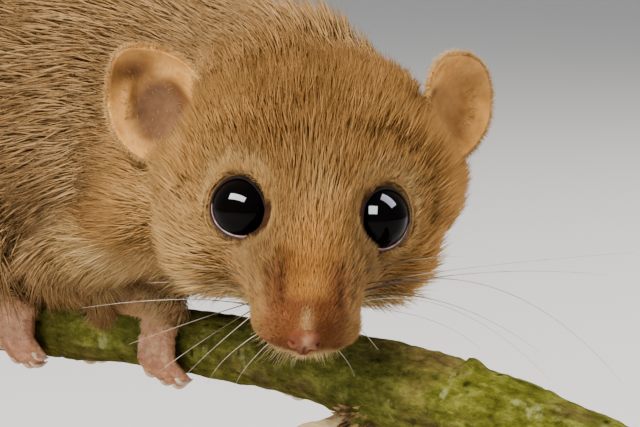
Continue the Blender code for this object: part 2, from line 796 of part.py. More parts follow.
def stand():
    """Flat base and two rods up to the underside of the branch."""
    shape = bmesh.new()
    size = (BASE_LENGTH, BASE_WIDTH, BASE_HEIGHT)
    place = Matrix.Translation((0.0, 0.0, 0.5 * BASE_HEIGHT)) @ Matrix.Diagonal((*size, 1.0))
    bmesh.ops.create_cube(shape, size=1.0, matrix=place)
    base = to_object("stand_base", shape)
    apply_modifier(base, "BEVEL", width=BASE_EDGE, segments=3, limit_method="ANGLE")
    rods = []
    holes = []
    foot_level = BASE_HEIGHT - ROD_DEPTH
    for place, x in ROD_PLACES.items():
        middle, radius = branch_at(x)
        top = middle.z - 0.35 * radius
        start = Vector((x, middle.y, foot_level))
        up = Vector((0.0, 0.0, 1.0))
        rods.append(cone("stand_rod_" + place, start, up, ROD_RADIUS, ROD_RADIUS, top - foot_level, 20))
        hole_start = start - up * GAP
        wide = ROD_RADIUS + GAP
        holes.append(cone("hole", hole_start, up, wide, wide, 2.0 * ROD_DEPTH, 20))
    carve(base, "DIFFERENCE", holes)
    return base, rods


def rod_sockets():
    """Holes that the rods reach up into, in the underside of the branch."""
    holes = []
    for x in ROD_PLACES.values():
        middle, radius = branch_at(x)
        start = Vector((x, middle.y, middle.z - 2.0 * radius))
        wide = ROD_RADIUS + GAP
        top = middle.z - 0.35 * radius + GAP
        holes.append(cone("hole", start, Vector((0.0, 0.0, 1.0)), wide, wide, top - start.z, 20))
    return holes


def part_flesh(whole, name, cuts):
    """Take one length of the flesh between planes, each cut back by half the gap."""
    item = duplicate(whole, name)
    for point, direction in cuts:
        trim(item, point + direction.normalized() * 0.5 * GAP, direction)
    keep_largest(item)
    return item


def leg_region(places, side, spare):
    """Round region about the bones of one leg, a little wider than its flesh."""
    region = fuse("region", leg_bones(places, side, spare), REGION_VOXEL, 1)
    simplify(region, REGION_FACES)
    return region


def part_legs(whole):
    """Cut each leg out of the flesh along a round region about its bones."""
    legs = []
    for side in SIDE_SIGN:
        for name, places, spare in (("foreleg_", FORELEG, 0.9), ("hind_leg_", HIND_LEG, 1.0)):
            leg = duplicate(whole, name + side)
            inner = leg_region(places[side], side, spare)
            outer = leg_region(places[side], side, spare + FLESH_GAP)
            carve(leg, "INTERSECT", [inner], FLESH_SOLVER)
            carve(whole, "DIFFERENCE", [outer], FLESH_SOLVER)
            legs.append(leg)
    return legs


def build():
    clear_scene()
    whole = flesh()
    simplify(whole, FLESH_FACES)
    legs = part_legs(whole)
    head_point = HEAD_FRAME @ HEAD_JOINT[0]
    head_way = HEAD_FRAME.to_3x3() @ HEAD_JOINT[1]
    neck_point, neck_way = NECK_JOINT
    head = part_flesh(whole, "head", [(head_point, head_way)])
    neck = part_flesh(whole, "neck", [(head_point, -head_way), (neck_point, neck_way)])
    torso = part_flesh(whole, "torso", [(neck_point, -neck_way)])
    remove(whole)

    jaw = duplicate(head, "lower_jaw")
    carve(jaw, "INTERSECT", [jaw_region(0.0)], FLESH_SOLVER)
    carve(head, "DIFFERENCE", [jaw_region(GAP)], FLESH_SOLVER)
    finish_head(head)
    balls = eyes()

    ears = {side: ear_form("ear_" + side, side) for side in SIDE_SIGN}

    perch = branch()
    paws = []
    for side in SIDE_SIGN:
        for name, maker in (("hand_", hand), ("hind_foot_", foot)):
            item = maker(name + side, side)
            simplify(item, PAW_FACES)
            carve(item, "DIFFERENCE", [branch_form("clearance", GAP)], FLESH_SOLVER)
            paws.append(item)

    tail = tail_nodes()

    for item in [torso, neck, head, jaw] + legs:
        clearances = [branch_form("clearance", GAP), tail_clearance()]
        for side in SIDE_SIGN:
            clearances.append(hand("clearance", side, FLESH_GAP))
            clearances.append(foot("clearance", side, FLESH_GAP))
            clearances.append(ear_form("clearance", side, GAP))
        for clearance in clearances:
            simplify(clearance, 900)
            carve(item, "DIFFERENCE", [clearance], FLESH_SOLVER)
        finish_node(item, *NODE_FINISH[item.name])

    base, rods = stand()
    carve(perch, "DIFFERENCE", rod_sockets())

    fur = (0.28, 0.17, 0.08)
    for item in [head, jaw, neck, torso] + legs + tail:
        material(item, fur, 0.85)
    for item in balls.values():
        material(item, (0.006, 0.005, 0.005), 0.05)
    for item in list(ears.values()) + paws:
        material(item, (0.42, 0.24, 0.17), 0.6)
    material(perch, (0.19, 0.19, 0.05), 0.8)
    material(base, (0.16, 0.11, 0.07), 0.45)
    for item in rods:
        material(item, (0.3, 0.3, 0.3), 0.35, 1.0)

    for item in bpy.data.objects:
        item.data.transform(Matrix.Scale(MM, 4))
        item.data.shade_smooth()


build()
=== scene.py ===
"""Looks of a life-size hazel dormouse on its cut branch and display stand.

Places and sizes are millimetres in the frame's own axes until a mesh is written, which
turns them into metres: +Z is up, the branch runs along X with the head at +X, and the
animal's right side faces -Y.
"""

import json
import math
from typing import NamedTuple

import bmesh
import bpy
import numpy as np
from mathutils import Matrix, Vector, noise
from mathutils.bvhtree import BVHTree

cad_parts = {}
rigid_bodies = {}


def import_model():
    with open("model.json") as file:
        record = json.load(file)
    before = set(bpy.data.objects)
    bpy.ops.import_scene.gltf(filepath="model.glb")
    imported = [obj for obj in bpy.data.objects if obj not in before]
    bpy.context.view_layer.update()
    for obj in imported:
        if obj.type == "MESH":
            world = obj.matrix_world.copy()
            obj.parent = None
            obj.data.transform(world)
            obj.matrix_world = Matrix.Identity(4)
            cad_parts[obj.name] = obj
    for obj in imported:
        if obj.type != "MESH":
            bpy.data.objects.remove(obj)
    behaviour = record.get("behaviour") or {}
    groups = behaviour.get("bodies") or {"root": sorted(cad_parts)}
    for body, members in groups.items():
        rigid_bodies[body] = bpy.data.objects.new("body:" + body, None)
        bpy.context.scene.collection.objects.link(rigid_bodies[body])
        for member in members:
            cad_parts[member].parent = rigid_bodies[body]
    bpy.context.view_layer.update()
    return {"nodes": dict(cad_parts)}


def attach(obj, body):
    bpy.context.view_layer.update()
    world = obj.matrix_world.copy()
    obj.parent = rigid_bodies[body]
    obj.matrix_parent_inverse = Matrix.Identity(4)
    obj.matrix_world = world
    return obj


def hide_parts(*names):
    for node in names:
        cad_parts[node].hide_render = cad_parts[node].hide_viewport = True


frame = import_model()

MM = 0.001
RANDOM_SEED = 7
RANDOM = np.random.default_rng(RANDOM_SEED)
noise.seed_set(RANDOM_SEED)

# Head frame, placed by the point midway between the eyes
EYE_MIDPOINT = Vector((40.0, -5.5, 45.0))
HEAD_TURN = -35.0
HEAD_DROP = 22.0
HEAD_TILT = -5.0
EYE_OFFSET = 4.55
EYE_TURN = 45.0
EYE_LIFT = 27.0
EYEBALL_RADIUS = 2.4
NOSE_TIP = np.array([9.7, -0.65, -3.9])
MOUTH_LEVEL = -6.2
MOUTH_FALL = 0.07
SIDE_SIGN = {"right": -1.0, "left": 1.0}

HEAD_FRAME = (
    Matrix.Translation(EYE_MIDPOINT)
    @ Matrix.Rotation(math.radians(HEAD_TURN), 4, "Z")
    @ Matrix.Rotation(math.radians(HEAD_DROP), 4, "Y")
    @ Matrix.Rotation(math.radians(HEAD_TILT), 4, "X")
)
HEAD_AXES = np.array(HEAD_FRAME.to_3x3())
HEAD_PLACE = np.array(EYE_MIDPOINT)

# Opening of the lids in degrees off the eye's axis, by the turn away from the inner corner
LID_OPENING = {
    "right": (
        (-160.0, 52.0), (-125.0, 47.0), (-88.0, 44.0), (-58.0, 46.0), (-35.0, 51.0),
        (-13.0, 59.0), (6.0, 68.0), (22.0, 73.0), (45.0, 69.0), (70.0, 61.0),
        (98.0, 56.0), (126.0, 55.0), (151.0, 56.0),
    ),
    "left": (
        (-160.0, 50.0), (-138.0, 53.0), (-112.0, 58.0), (-88.0, 62.0), (-66.0, 65.0),
        (-41.0, 68.0), (-17.0, 72.0), (4.0, 72.0), (29.0, 67.0), (45.0, 59.0),
        (80.0, 47.0), (120.0, 44.0), (165.0, 46.0),
    ),
}
LID_SMOOTHING = (-12.0, -6.0, 0.0, 6.0, 12.0)


class Ear(NamedTuple):
    """Place and make of an ear, in the head frame."""

    middle: Vector
    facing: Vector
    rise: Vector
    narrowing: float
    size: float
    # Strength of the painted shade in the cup and of the painted shadow under the tip
    shade: float


EARS = {
    "right": Ear(
        middle=Vector((-9.6, -11.3, 2.9)),
        facing=Vector((0.80, -0.42, 0.42)),
        rise=Vector((-0.35, -0.58, 0.78)),
        narrowing=0.2,
        size=1.0,
        shade=1.0,
    ),
    "left": Ear(
        middle=Vector((-9.6, 11.3, 4.1)),
        facing=Vector((0.62, 0.64, 0.42)),
        rise=Vector((-0.60, 0.34, 0.62)),
        narrowing=-0.14,
        size=0.94,
        shade=0.5,
    ),
}
EAR_HALF_WIDTH = 3.5
EAR_HALF_HEIGHT = 4.3
EAR_DEPTH = 1.9
EAR_THICKNESS = 0.34
EAR_SPREAD = 1.03
EAR_LEAN = 0.14

# Branch and tail lines: x, y, z, radius
BRANCH_STATIONS = (
    (-42.0, 0.6, 29.2, 2.8),
    (-20.0, -0.4, 30.2, 2.7),
    (0.0, 0.0, 31.0, 2.65),
    (12.0, 0.3, 31.9, 2.5),
    (24.0, 0.0, 32.5, 2.6),
    (36.0, -0.2, 32.7, 2.8),
    (45.0, 0.0, 32.1, 3.4),
    (55.0, 0.2, 31.0, 3.5),
    (64.0, 0.0, 29.6, 3.6),
    (72.0, -0.3, 28.1, 3.7),
)
TAIL_STATIONS = (
    (-13.0, 0.0, 42.0, 3.0),
    (-21.0, 0.6, 38.9, 3.3),
    (-30.0, 1.6, 37.6, 3.6),
    (-40.0, 3.0, 37.0, 3.7),
    (-50.0, 4.6, 35.4, 3.7),
    (-60.0, 6.4, 32.0, 3.6),
    (-69.0, 8.0, 27.4, 3.2),
    (-75.0, 9.0, 23.6, 1.4),
)
# Radius of the skin inside the tail's hair, by the place along the tail
TAIL_CORE = (
    (-13.0, 2.9), (-20.0, 2.9), (-25.0, 2.6), (-33.0, 1.6), (-60.0, 1.3), (-68.0, 1.0), (-72.0, 0.6),
)

# Broken side twig: root, bend and tip
TWIG = ((43.5, -1.7, 31.4), (41.2, -3.7, 29.7), (37.8, -5.3, 28.4))

# Bones of each leg, the last point being the wrist or the ankle
LEG_BONES = (
    ((25.0, -8.2, 44.0), (16.4, -10.4, 39.6), (18.8, -7.0, 36.8)),
    ((26.0, 8.2, 43.6), (18.5, 10.4, 39.4), (28.0, 7.0, 36.6)),
    ((-4.0, -8.4, 43.5), (5.6, -10.6, 40.0), (-6.5, -5.6, 36.6)),
    ((-4.0, 8.4, 43.5), (6.4, 10.6, 40.0), (-5.5, 5.6, 36.6)),
)

FLESH_NODES = (
    "head", "lower_jaw", "neck", "torso", "foreleg_right", "foreleg_left", "hind_leg_right", "hind_leg_left",
)
TAIL_NODES = ("tail_base", "tail_middle", "tail_tip")
SEAM_FILL = 0.26
SKIN_VOXEL = 0.36
NOSE_VOXEL = 0.065
PAW_VOXEL = 0.11
BARK_VOXEL = 0.42


class Hair(NamedTuple):
    """Make of one region of the coat, with its slot."""

    count: int
    width: float
    full_length: float
    clump: float
    stray: float
    stand: float
    slot: str


COATS = {
    "coat_face": Hair(62000, 0.07, 2.4, 1.1, 0.24, 0.9, "fur"),
    "coat_head": Hair(54000, 0.09, 2.9, 1.6, 0.27, 0.9, "fur"),
    "coat_body": Hair(68000, 0.17, 6.0, 3.0, 0.28, 0.75, "fur"),
    "coat_tail": Hair(28000, 0.18, 6.0, 2.5, 0.38, 1.0, "tail_fur"),
}
TUFTS_PER_PIECE = 31000
FRINGE_TUFTS = 760


class Down(NamedTuple):
    """Make of the fine hair on small pieces, with ranges for what varies."""

    count: int
    stray: float
    length: tuple
    lift: tuple
    width: tuple
    tone: tuple


LID_DOWN = Down(2200, 0.25, (0.7, 1.3), (0.1, 0.35), (0.03, 0.045), (0.25, 0.6))
EAR_DOWN = Down(9000, 0.35, (0.7, 1.25), (0.04, 0.18), (0.03, 0.045), (0.35, 0.65))
PAW_DOWN = Down(3500, 0.25, (0.7, 1.2), (0.05, 0.22), (0.03, 0.05), (0.3, 0.6))

# The coat near bare places: its measure there, its growth away from them, and where that begins
DEPTH_LIMITS = {
    "lid": (0.1, 0.3, 0.0),
    "nose": (0.1, 0.11, 1.0),
    "paw": (0.25, 0.15, 0.0),
    "ear": (0.35, 0.2, 0.0),
}
LENGTH_LIMITS = {
    "lid": (0.4, 0.65, 0.0),
    "corner": (0.42, 0.42, 0.0),
    "nose": (0.32, 0.27, 1.3),
    "paw": (1.2, 0.42, 0.0),
    "ear": (0.8, 0.5, 2.0),
}

# Hands and feet: node, place along the branch, and each digit's spread and turn round the bark
HAND_DIGITS = ((-1.95, 128.0), (-0.65, 142.0), (0.65, 146.0), (1.95, 132.0))
FOOT_DIGITS = ((-2.3, 108.0), (-1.1, 132.0), (0.1, 140.0), (1.3, 136.0), (2.4, 120.0))
PAWS = (
    ("hand_right", 19.2, HAND_DIGITS),
    ("hand_left", 29.4, HAND_DIGITS),
    ("hind_foot_right", 0.4, FOOT_DIGITS),
    ("hind_foot_left", 2.8, FOOT_DIGITS),
)


# Numbers and places


def smoothstep(low, high, value):
    share = np.clip((value - low) / (high - low), 0.0, 1.0)
    return share * share * (3.0 - 2.0 * share)


def bell(value, width):
    return np.exp(-0.5 * (value / width) ** 2)


def unit(vectors):
    return vectors / np.maximum(np.linalg.norm(vectors, axis=-1, keepdims=True), 1e-9)


def head_local(points):
    """Forward, left and up of points, in the head's own directions."""
    return (points - HEAD_PLACE) @ HEAD_AXES


def head_point(forward, left, up):
    return HEAD_FRAME @ Vector((forward, left, up))


def eye_centre(side):
    return head_point(0.0, SIDE_SIGN[side] * EYE_OFFSET, 0.0)


def eye_direction(side):
    turn = math.radians(EYE_TURN)
    lift = math.radians(EYE_LIFT)
    forward = math.cos(lift) * math.cos(turn)
    out = math.cos(lift) * math.sin(turn) * SIDE_SIGN[side]
    return HEAD_FRAME.to_3x3() @ Vector((forward, out, math.sin(lift)))


def eye_basis(side):
    """Eye axis, the way to its inner corner, and the way at right angles to both."""
    axis = eye_direction(side)
    corner = HEAD_FRAME.to_3x3() @ Vector((0.55, -0.6 * SIDE_SIGN[side], -0.75))
    corner = (corner - axis * corner.dot(axis)).normalized()
    return np.array(axis), np.array(corner), np.array(axis.cross(corner))


def lid_opening(side, turn):
    """Opening of the lids in degrees, at turns in degrees from the inner corner."""
    turns, openings = np.array(LID_OPENING[side]).T
    turns = np.concatenate([turns - 360.0, turns, turns + 360.0])
    openings = np.tile(openings, 3)
    return sum(np.interp(turn + step, turns, openings) for step in LID_SMOOTHING) / len(LID_SMOOTHING)


def eye_angles(points, side):
    """Distance from the eye's centre, degrees off its axis, and turn from its inner corner."""
    axis, corner, across = eye_basis(side)
    away = points - np.array(eye_centre(side))
    reach = np.linalg.norm(away, axis=1)
    off = np.degrees(np.arccos(np.clip((away @ axis) / np.maximum(reach, 1e-6), -1.0, 1.0)))
    return reach, off, np.degrees(np.arctan2(away @ across, away @ corner))


def lid_spread(points, side):
    """Distance from the eye's centre, and degrees beyond the edge of its lids."""
    reach, off, turn = eye_angles(points, side)
    return reach, off - lid_opening(side, turn)


def lid_gap(points):
    """Distance from the edge of the nearer eye's lids, negative in front of the open eye."""
    gaps = []
    for side in SIDE_SIGN:
        reach, spread = lid_spread(points, side)
        along = np.radians(spread) * np.clip(reach, 2.6, 20.0)
        slope = 0.6 + 1.2 * smoothstep(0.3, -0.3, along)
        gaps.append(np.maximum(along, -1.5) + slope * np.maximum(reach - 3.1, 0.0))
    return np.minimum(*gaps)


def smooth_path(stations, steps):
    """Read a smooth curve through stations, which carry a radius as their last value."""
    rows = [np.array(station, dtype=float) for station in stations]
    rows = [2.0 * rows[0] - rows[1]] + rows + [2.0 * rows[-1] - rows[-2]]
    path = []
    for index in range(1, len(rows) - 2):
        before, start, end, after = rows[index - 1 : index + 3]
        for step in range(steps):
            part = step / steps
            bend = 2.0 * before - 5.0 * start + 4.0 * end - after
            turn = 3.0 * start - before - 3.0 * end + after
            path.append(start + 0.5 * part * ((end - before) + part * (bend + part * turn)))
    path.append(rows[-2])
    return np.array(path)


BRANCH_LINE = smooth_path(BRANCH_STATIONS, 8)
TAIL_LINE = smooth_path(TAIL_STATIONS, 8)


def tail_place(points):
    """Nearest place along the tail: its middle, its direction and the distance from it."""
    line = TAIL_LINE[:, :3]
    gaps = np.linalg.norm(points[:, None, :] - line[None, :, :], axis=2)
    nearest = gaps.argmin(axis=1)
    along = unit(np.gradient(line, axis=0))
    return line[nearest], along[nearest], gaps[np.arange(len(points)), nearest]


def nearness_to_bone(points, start, end):
    """Distance from points to a line between two places."""
    start = np.array(start)
    way = np.array(end) - start
    share = np.clip(((points - start) @ way) / (way @ way), 0.0, 1.0)
    return np.linalg.norm(points - start - share[:, None] * way, axis=1)


def drift(points, scale, seed):
    """Slowly varying random vectors, alike for neighbouring points."""
    shift = Vector((17.3 * seed, -9.1 * seed, 4.7 * seed))
    return np.array([noise.noise_vector(Vector(point) / scale + shift) for point in points])


def gap_to(points, *spots):
    """Distance from points to the nearest of some places."""
    return np.min([np.linalg.norm(points - np.array(spot), axis=1) for spot in spots], axis=0)


def along_surface(way, facing):
    """Directions turned down onto a surface."""
    return unit(way - facing * np.sum(way * facing, axis=1, keepdims=True))


# Meshes


def to_object(name, shape):
    """Turn a bmesh in millimetres into an object in metres."""
    bmesh.ops.scale(shape, vec=(MM, MM, MM), verts=shape.verts)
    mesh = bpy.data.meshes.new(name)
    shape.to_mesh(mesh)
    shape.free()
    mesh.shade_smooth()
    item = bpy.data.objects.new(name, mesh)
    bpy.context.scene.collection.objects.link(item)
    return item

def closed_object(name, shape):
    """Turn the faces of closed forms outwards and make the forms an object."""
    bmesh.ops.recalc_face_normals(shape, faces=shape.faces)
    return to_object(name, shape)


def remove(item):
    mesh = item.data
    bpy.data.objects.remove(item, do_unlink=True)
    bpy.data.meshes.remove(mesh)


def apply_modifier(item, kind, **settings):
    modifier = item.modifiers.new(kind.title(), kind)
    for key, value in settings.items():
        setattr(modifier, key, value)
    graph = bpy.context.evaluated_depsgraph_get()
    result = bpy.data.meshes.new_from_object(item.evaluated_get(graph))
    item.modifiers.clear()
    former = item.data
    item.data = result
    bpy.data.meshes.remove(former)
    item.data.shade_smooth()


def read(items, key, width, kind=float):
    """Values of a mesh's elements, a row for each."""
    flat = np.empty(len(items) * width, dtype=kind)
    items.foreach_get(key, flat)
    return flat.reshape(-1, width)


def places(mesh):
    """Vertices of a mesh, in millimetres."""
    return read(mesh.vertices, "co", 3) / MM


def normals(mesh):
    return read(mesh.vertex_normals, "vector", 3)


def move(item, points):
    item.data.vertices.foreach_set("co", (points * MM).ravel())
    item.data.update()


def swell(item, amount):
    """Move a surface outwards along its normals."""
    amount = np.broadcast_to(amount, len(item.data.vertices))
    move(item, places(item.data) + normals(item.data) * amount[:, None])


def joined_copy(name, node_names, extra=()):
    """One object with the welded meshes of some CAD nodes and of other objects."""
    shape = bmesh.new()
    for node in node_names:
        shape.from_mesh(frame["nodes"][node].data)
    bmesh.ops.remove_doubles(shape, verts=shape.verts, dist=1e-6)
    for item in extra:
        shape.from_mesh(item.data)
        remove(item)
    bmesh.ops.scale(shape, vec=(1.0 / MM, 1.0 / MM, 1.0 / MM), verts=shape.verts)
    return to_object(name, shape)


def melt(item, voxel, smoothing, single=False):
    """Melt closed forms into one even surface, keeping its largest piece where it has to be single."""
    apply_modifier(item, "REMESH", mode="VOXEL", voxel_size=voxel * MM)
    if single:
        keep_largest(item)
    apply_modifier(item, "SMOOTH", factor=0.5, iterations=smoothing)


def keep_largest(item):
    """Keep the closed surface with the most faces."""
    shape = bmesh.new()
    shape.from_mesh(item.data)
    waiting = set(shape.faces)
    largest = set()
    while waiting:
        front = [waiting.pop()]
        piece = set(front)
        while front:
            for edge in front.pop().edges:
                for neighbour in edge.link_faces:
                    if neighbour in waiting:
                        waiting.remove(neighbour)
                        front.append(neighbour)
                        piece.add(neighbour)
        if len(piece) > len(largest):
            largest = piece
    bmesh.ops.delete(shape, geom=[face for face in shape.faces if face not in largest], context="FACES")
    shape.to_mesh(item.data)
    shape.free()


def ring_frame(tangent):
    across = Vector((0.0, 0.0, 1.0)).cross(tangent)
    if across.length < 0.2:
        across = Vector((0.0, 1.0, 0.0)).cross(tangent)
    across.normalize()
    return across, tangent.cross(across).normalized()


def add_band(shape, row, following):
    """Join two closed rings of corners with faces."""
    for index in range(len(row)):
        after = (index + 1) % len(row)
        shape.faces.new((row[index], row[after], following[after], following[index]))


def add_tube(shape, points, radii, sides):
    """Add a round tube through points to a bmesh, with a pole at each end."""
    points = [Vector(point) for point in points]
    last = len(points) - 1
    angles = [2.0 * math.pi * side / sides for side in range(sides)]
    rows = []
    for index, (point, radius) in enumerate(zip(points, radii)):
        before, after = points[max(index - 1, 0)], points[min(index + 1, last)]
        across, rise = ring_frame((after - before).normalized())
        row = [point + (across * math.cos(angle) + rise * math.sin(angle)) * radius for angle in angles]
        rows.append([shape.verts.new(corner) for corner in row])
    for row, following in zip(rows, rows[1:]):
        add_band(shape, row, following)
    for row, end, inner, radius in (
        (rows[0], points[0], points[1], radii[0]),
        (rows[-1], points[-1], points[-2], radii[-1]),
    ):
        middle = sum((corner.co for corner in row), Vector()) / sides
        pole = shape.verts.new(middle + (end * 2.0 - inner - middle).normalized() * radius)
        for side in range(sides):
            shape.faces.new((pole, row[side], row[(side + 1) % sides]))


def tubes(name, runs, sides):
    """One object of round tubes, each given by its points and their radii."""
    shape = bmesh.new()
    for points, radii in runs:
        add_tube(shape, points, radii, sides)
    return closed_object(name, shape)


def ellipsoid(name, centre, radii, frame_matrix, segments=48, rings=32):
    shape = bmesh.new()
    bmesh.ops.create_uvsphere(shape, u_segments=segments, v_segments=rings, radius=1.0)
    place = frame_matrix @ Matrix.Translation(centre) @ Matrix.Diagonal((*radii, 1.0))
    bmesh.ops.transform(shape, matrix=place, verts=shape.verts)
    return to_object(name, shape)


def float_attribute(mesh, name, values):
    attribute = mesh.attributes.new(name, "FLOAT", "POINT")
    attribute.data.foreach_set("value", np.asarray(values, dtype=np.float32))


def unwrap(item):
    """Lay the surface out flat in islands, on the map that the coats use."""
    bpy.ops.object.select_all(action="DESELECT")
    item.select_set(True)
    bpy.context.view_layer.objects.active = item
    item.data.uv_layers.new(name="OFBake")
    bpy.ops.object.mode_set(mode="EDIT")
    bpy.ops.mesh.select_all(action="SELECT")
    bpy.ops.uv.smart_project(angle_limit=math.radians(66.0), island_margin=0.002)
    bpy.ops.object.mode_set(mode="OBJECT")


# Materials


def colour_value(colour):
    """Socket value of a grey, of everyday 0 to 255 red, green and blue, or of four socket values."""
    if isinstance(colour, float):
        return (colour, colour, colour, 1.0)
    if len(colour) == 4:
        return colour
    parts = [value / 255.0 for value in colour]
    linear = [part / 12.92 if part <= 0.04045 else ((part + 0.055) / 1.055) ** 2.4 for part in parts]
    return (*linear, 1.0)


class Paint:
    """A node material under construction."""

    def __init__(self, name, roughness, gloss=0.5, metal=0.0):
        self.material = bpy.data.materials.new(name)
        self.material.use_nodes = True
        self.tree = self.material.node_tree
        self.surface = self.tree.nodes["Principled BSDF"]
        self.set("Roughness", roughness)
        self.set("Specular IOR Level", gloss)
        self.set("Metallic", metal)

    def add(self, kind, **settings):
        item = self.tree.nodes.new(kind)
        for key, value in settings.items():
            setattr(item, key, value)
        return item

    def feed(self, socket, value):
        if isinstance(value, bpy.types.NodeSocket):
            self.tree.links.new(value, socket)
        else:
            socket.default_value = colour_value(value) if isinstance(value, tuple) else value

    def set(self, name, value):
        self.feed(self.surface.inputs[name], value)

    def soften(self, radius, scale):
        """Let light a little way into the surface."""
        self.set("Subsurface Weight", 0.12)
        self.surface.inputs["Subsurface Radius"].default_value = radius
        self.set("Subsurface Scale", scale * MM)

    def coordinates(self, stretch=(1.0, 1.0, 1.0), turn=(0.0, 0.0, 0.0)):
        source = self.add("ShaderNodeTexCoord")
        mapping = self.add("ShaderNodeMapping")
        mapping.inputs["Scale"].default_value = stretch
        mapping.inputs["Rotation"].default_value = turn
        self.tree.links.new(source.outputs["Object"], mapping.inputs["Vector"])
        return mapping.outputs["Vector"]

    def noise(self, scale, detail=4.0, roughness=0.55, vector=None, distortion=0.0):
        item = self.add("ShaderNodeTexNoise")
        item.inputs["Scale"].default_value = scale
        item.inputs["Detail"].default_value = detail
        item.inputs["Roughness"].default_value = roughness
        item.inputs["Distortion"].default_value = distortion
        self.feed(item.inputs["Vector"], vector or self.coordinates())
        return item.outputs["Fac"]

    def cells(self, scale):
        item = self.add("ShaderNodeTexVoronoi", feature="F1")
        item.inputs["Scale"].default_value = scale
        self.feed(item.inputs["Vector"], self.coordinates())
        return item.outputs["Distance"]

    def mask(self, name):
        return self.add("ShaderNodeAttribute", attribute_name=name).outputs["Fac"]

    def ramp(self, factor, *stops):
        item = self.add("ShaderNodeValToRGB")
        elements = item.color_ramp.elements
        while len(elements) < len(stops):
            elements.new(0.5)
        for element, (place, colour) in zip(elements, stops):
            element.position = place
            element.color = colour_value(colour)
        self.feed(item.inputs["Fac"], factor)
        return item.outputs["Color"]

    def mix(self, factor, first, second, blend="MIX"):
        item = self.add("ShaderNodeMix", data_type="RGBA", blend_type=blend)
        self.feed(item.inputs["Factor"], factor)
        self.feed(item.inputs["A"], first)
        self.feed(item.inputs["B"], second)
        return item.outputs["Result"]

    def value(self, operation, first, second):
        item = self.add("ShaderNodeMath", operation=operation)
        self.feed(item.inputs[0], first)
        self.feed(item.inputs[1], second)
        return item.outputs["Value"]

    def layers(self, tone, first, *others):
        """Colours of a tone, and the colours that take their place where a mask is high."""
        colour = self.ramp(tone, *first)
        for mask, stops in others:
            colour = self.mix(self.mask(mask), colour, self.ramp(tone, *stops))
        return colour

    def finish(self, colour, relief=None, depth=0.0):
        """Give the material its colour and a relief of a depth in millimetres."""
        self.set("Base Color", colour)
        if relief:
            item = self.add("ShaderNodeBump")
            item.inputs["Strength"].default_value = 1.0
            item.inputs["Distance"].default_value = depth * MM
            self.feed(item.inputs["Height"], relief)
            self.set("Normal", item.outputs["Normal"])
        return self.material


def coat_colour(paint, tone):
    """Colours of the coat from its markings, shared by the skin and the tufts."""
    return paint.layers(
        tone,
        ((0.0, (84, 56, 28)), (0.35, (134, 95, 49)), (0.7, (164, 122, 69)), (1.0, (187, 149, 97))),
        ("back", ((0.0, (97, 67, 36)), (0.5, (146, 112, 70)), (1.0, (172, 141, 99)))),
        ("warm", ((0.0, (122, 76, 32)), (0.5, (172, 116, 54)), (1.0, (198, 148, 82)))),
        ("red", ((0.0, (74, 36, 17)), (0.5, (108, 58, 32)), (1.0, (136, 82, 50)))),
        # Pale layer: pale marks, and painted light on the right cheek
        ("pale", ((0.0, (164, 124, 70)), (0.5, (206, 172, 112)), (1.0, (228, 204, 156)))),
        # Dark layer: dark marks, painted shade below the eyes, and painted shadow under the ear tips
        ("dark", ((0.0, (38, 22, 14)), (1.0, (72, 46, 28)))),
    )


def coat_material(name):
    """Hair: darker at the root, each tuft of its own tone."""
    paint = Paint(name, 0.75, 0.12)
    patches = paint.value("MULTIPLY", paint.noise(420.0, 3.0), 0.45)
    tone = paint.value("ADD", patches, paint.value("MULTIPLY", paint.mask("tone"), 0.62))
    depth = paint.ramp(paint.mask("along"), (0.0, 0.62), (0.45, 0.92), (1.0, 1.0))
    return paint.finish(paint.mix(1.0, coat_colour(paint, tone), depth, "MULTIPLY"))


def skin_material():
    """Skin seen between the tufts: the coat's colours in shadow, with fine hair strokes."""
    paint = Paint("skin_under_coat", 0.7, 0.2)
    colour = coat_colour(paint, paint.noise(900.0, 5.0))
    colour = paint.mix(1.0, colour, (0.66, 0.6, 0.55, 1.0), "MULTIPLY")
    return paint.finish(colour, paint.noise(2600.0, 4.0), 0.12)


def paw_material():
    """Bare skin with fine creases and pores."""
    paint = Paint("paw_skin", 0.5, 0.45)
    paint.soften((1.0, 0.45, 0.3), 0.5)
    tone = paint.noise(700.0, 5.0)
    paint.set("Roughness", paint.ramp(tone, (0.3, 0.6), (0.8, 0.4)))
    colour = paint.ramp(tone, (0.3, (142, 92, 66)), (0.5, (178, 128, 96)), (0.72, (202, 158, 126)))
    return paint.finish(colour, paint.value("ADD", paint.cells(4200.0), paint.noise(1800.0, 3.0)), 0.05)


def eye_material():
    paint = Paint("eye_black", 0.03, 0.05)
    darker, lighter = (0.0004, 0.0003, 0.0003, 1.0), (0.0016, 0.001, 0.0008, 1.0)
    return paint.finish(paint.ramp(paint.noise(300.0, 2.0), (0.3, darker), (0.8, lighter)))


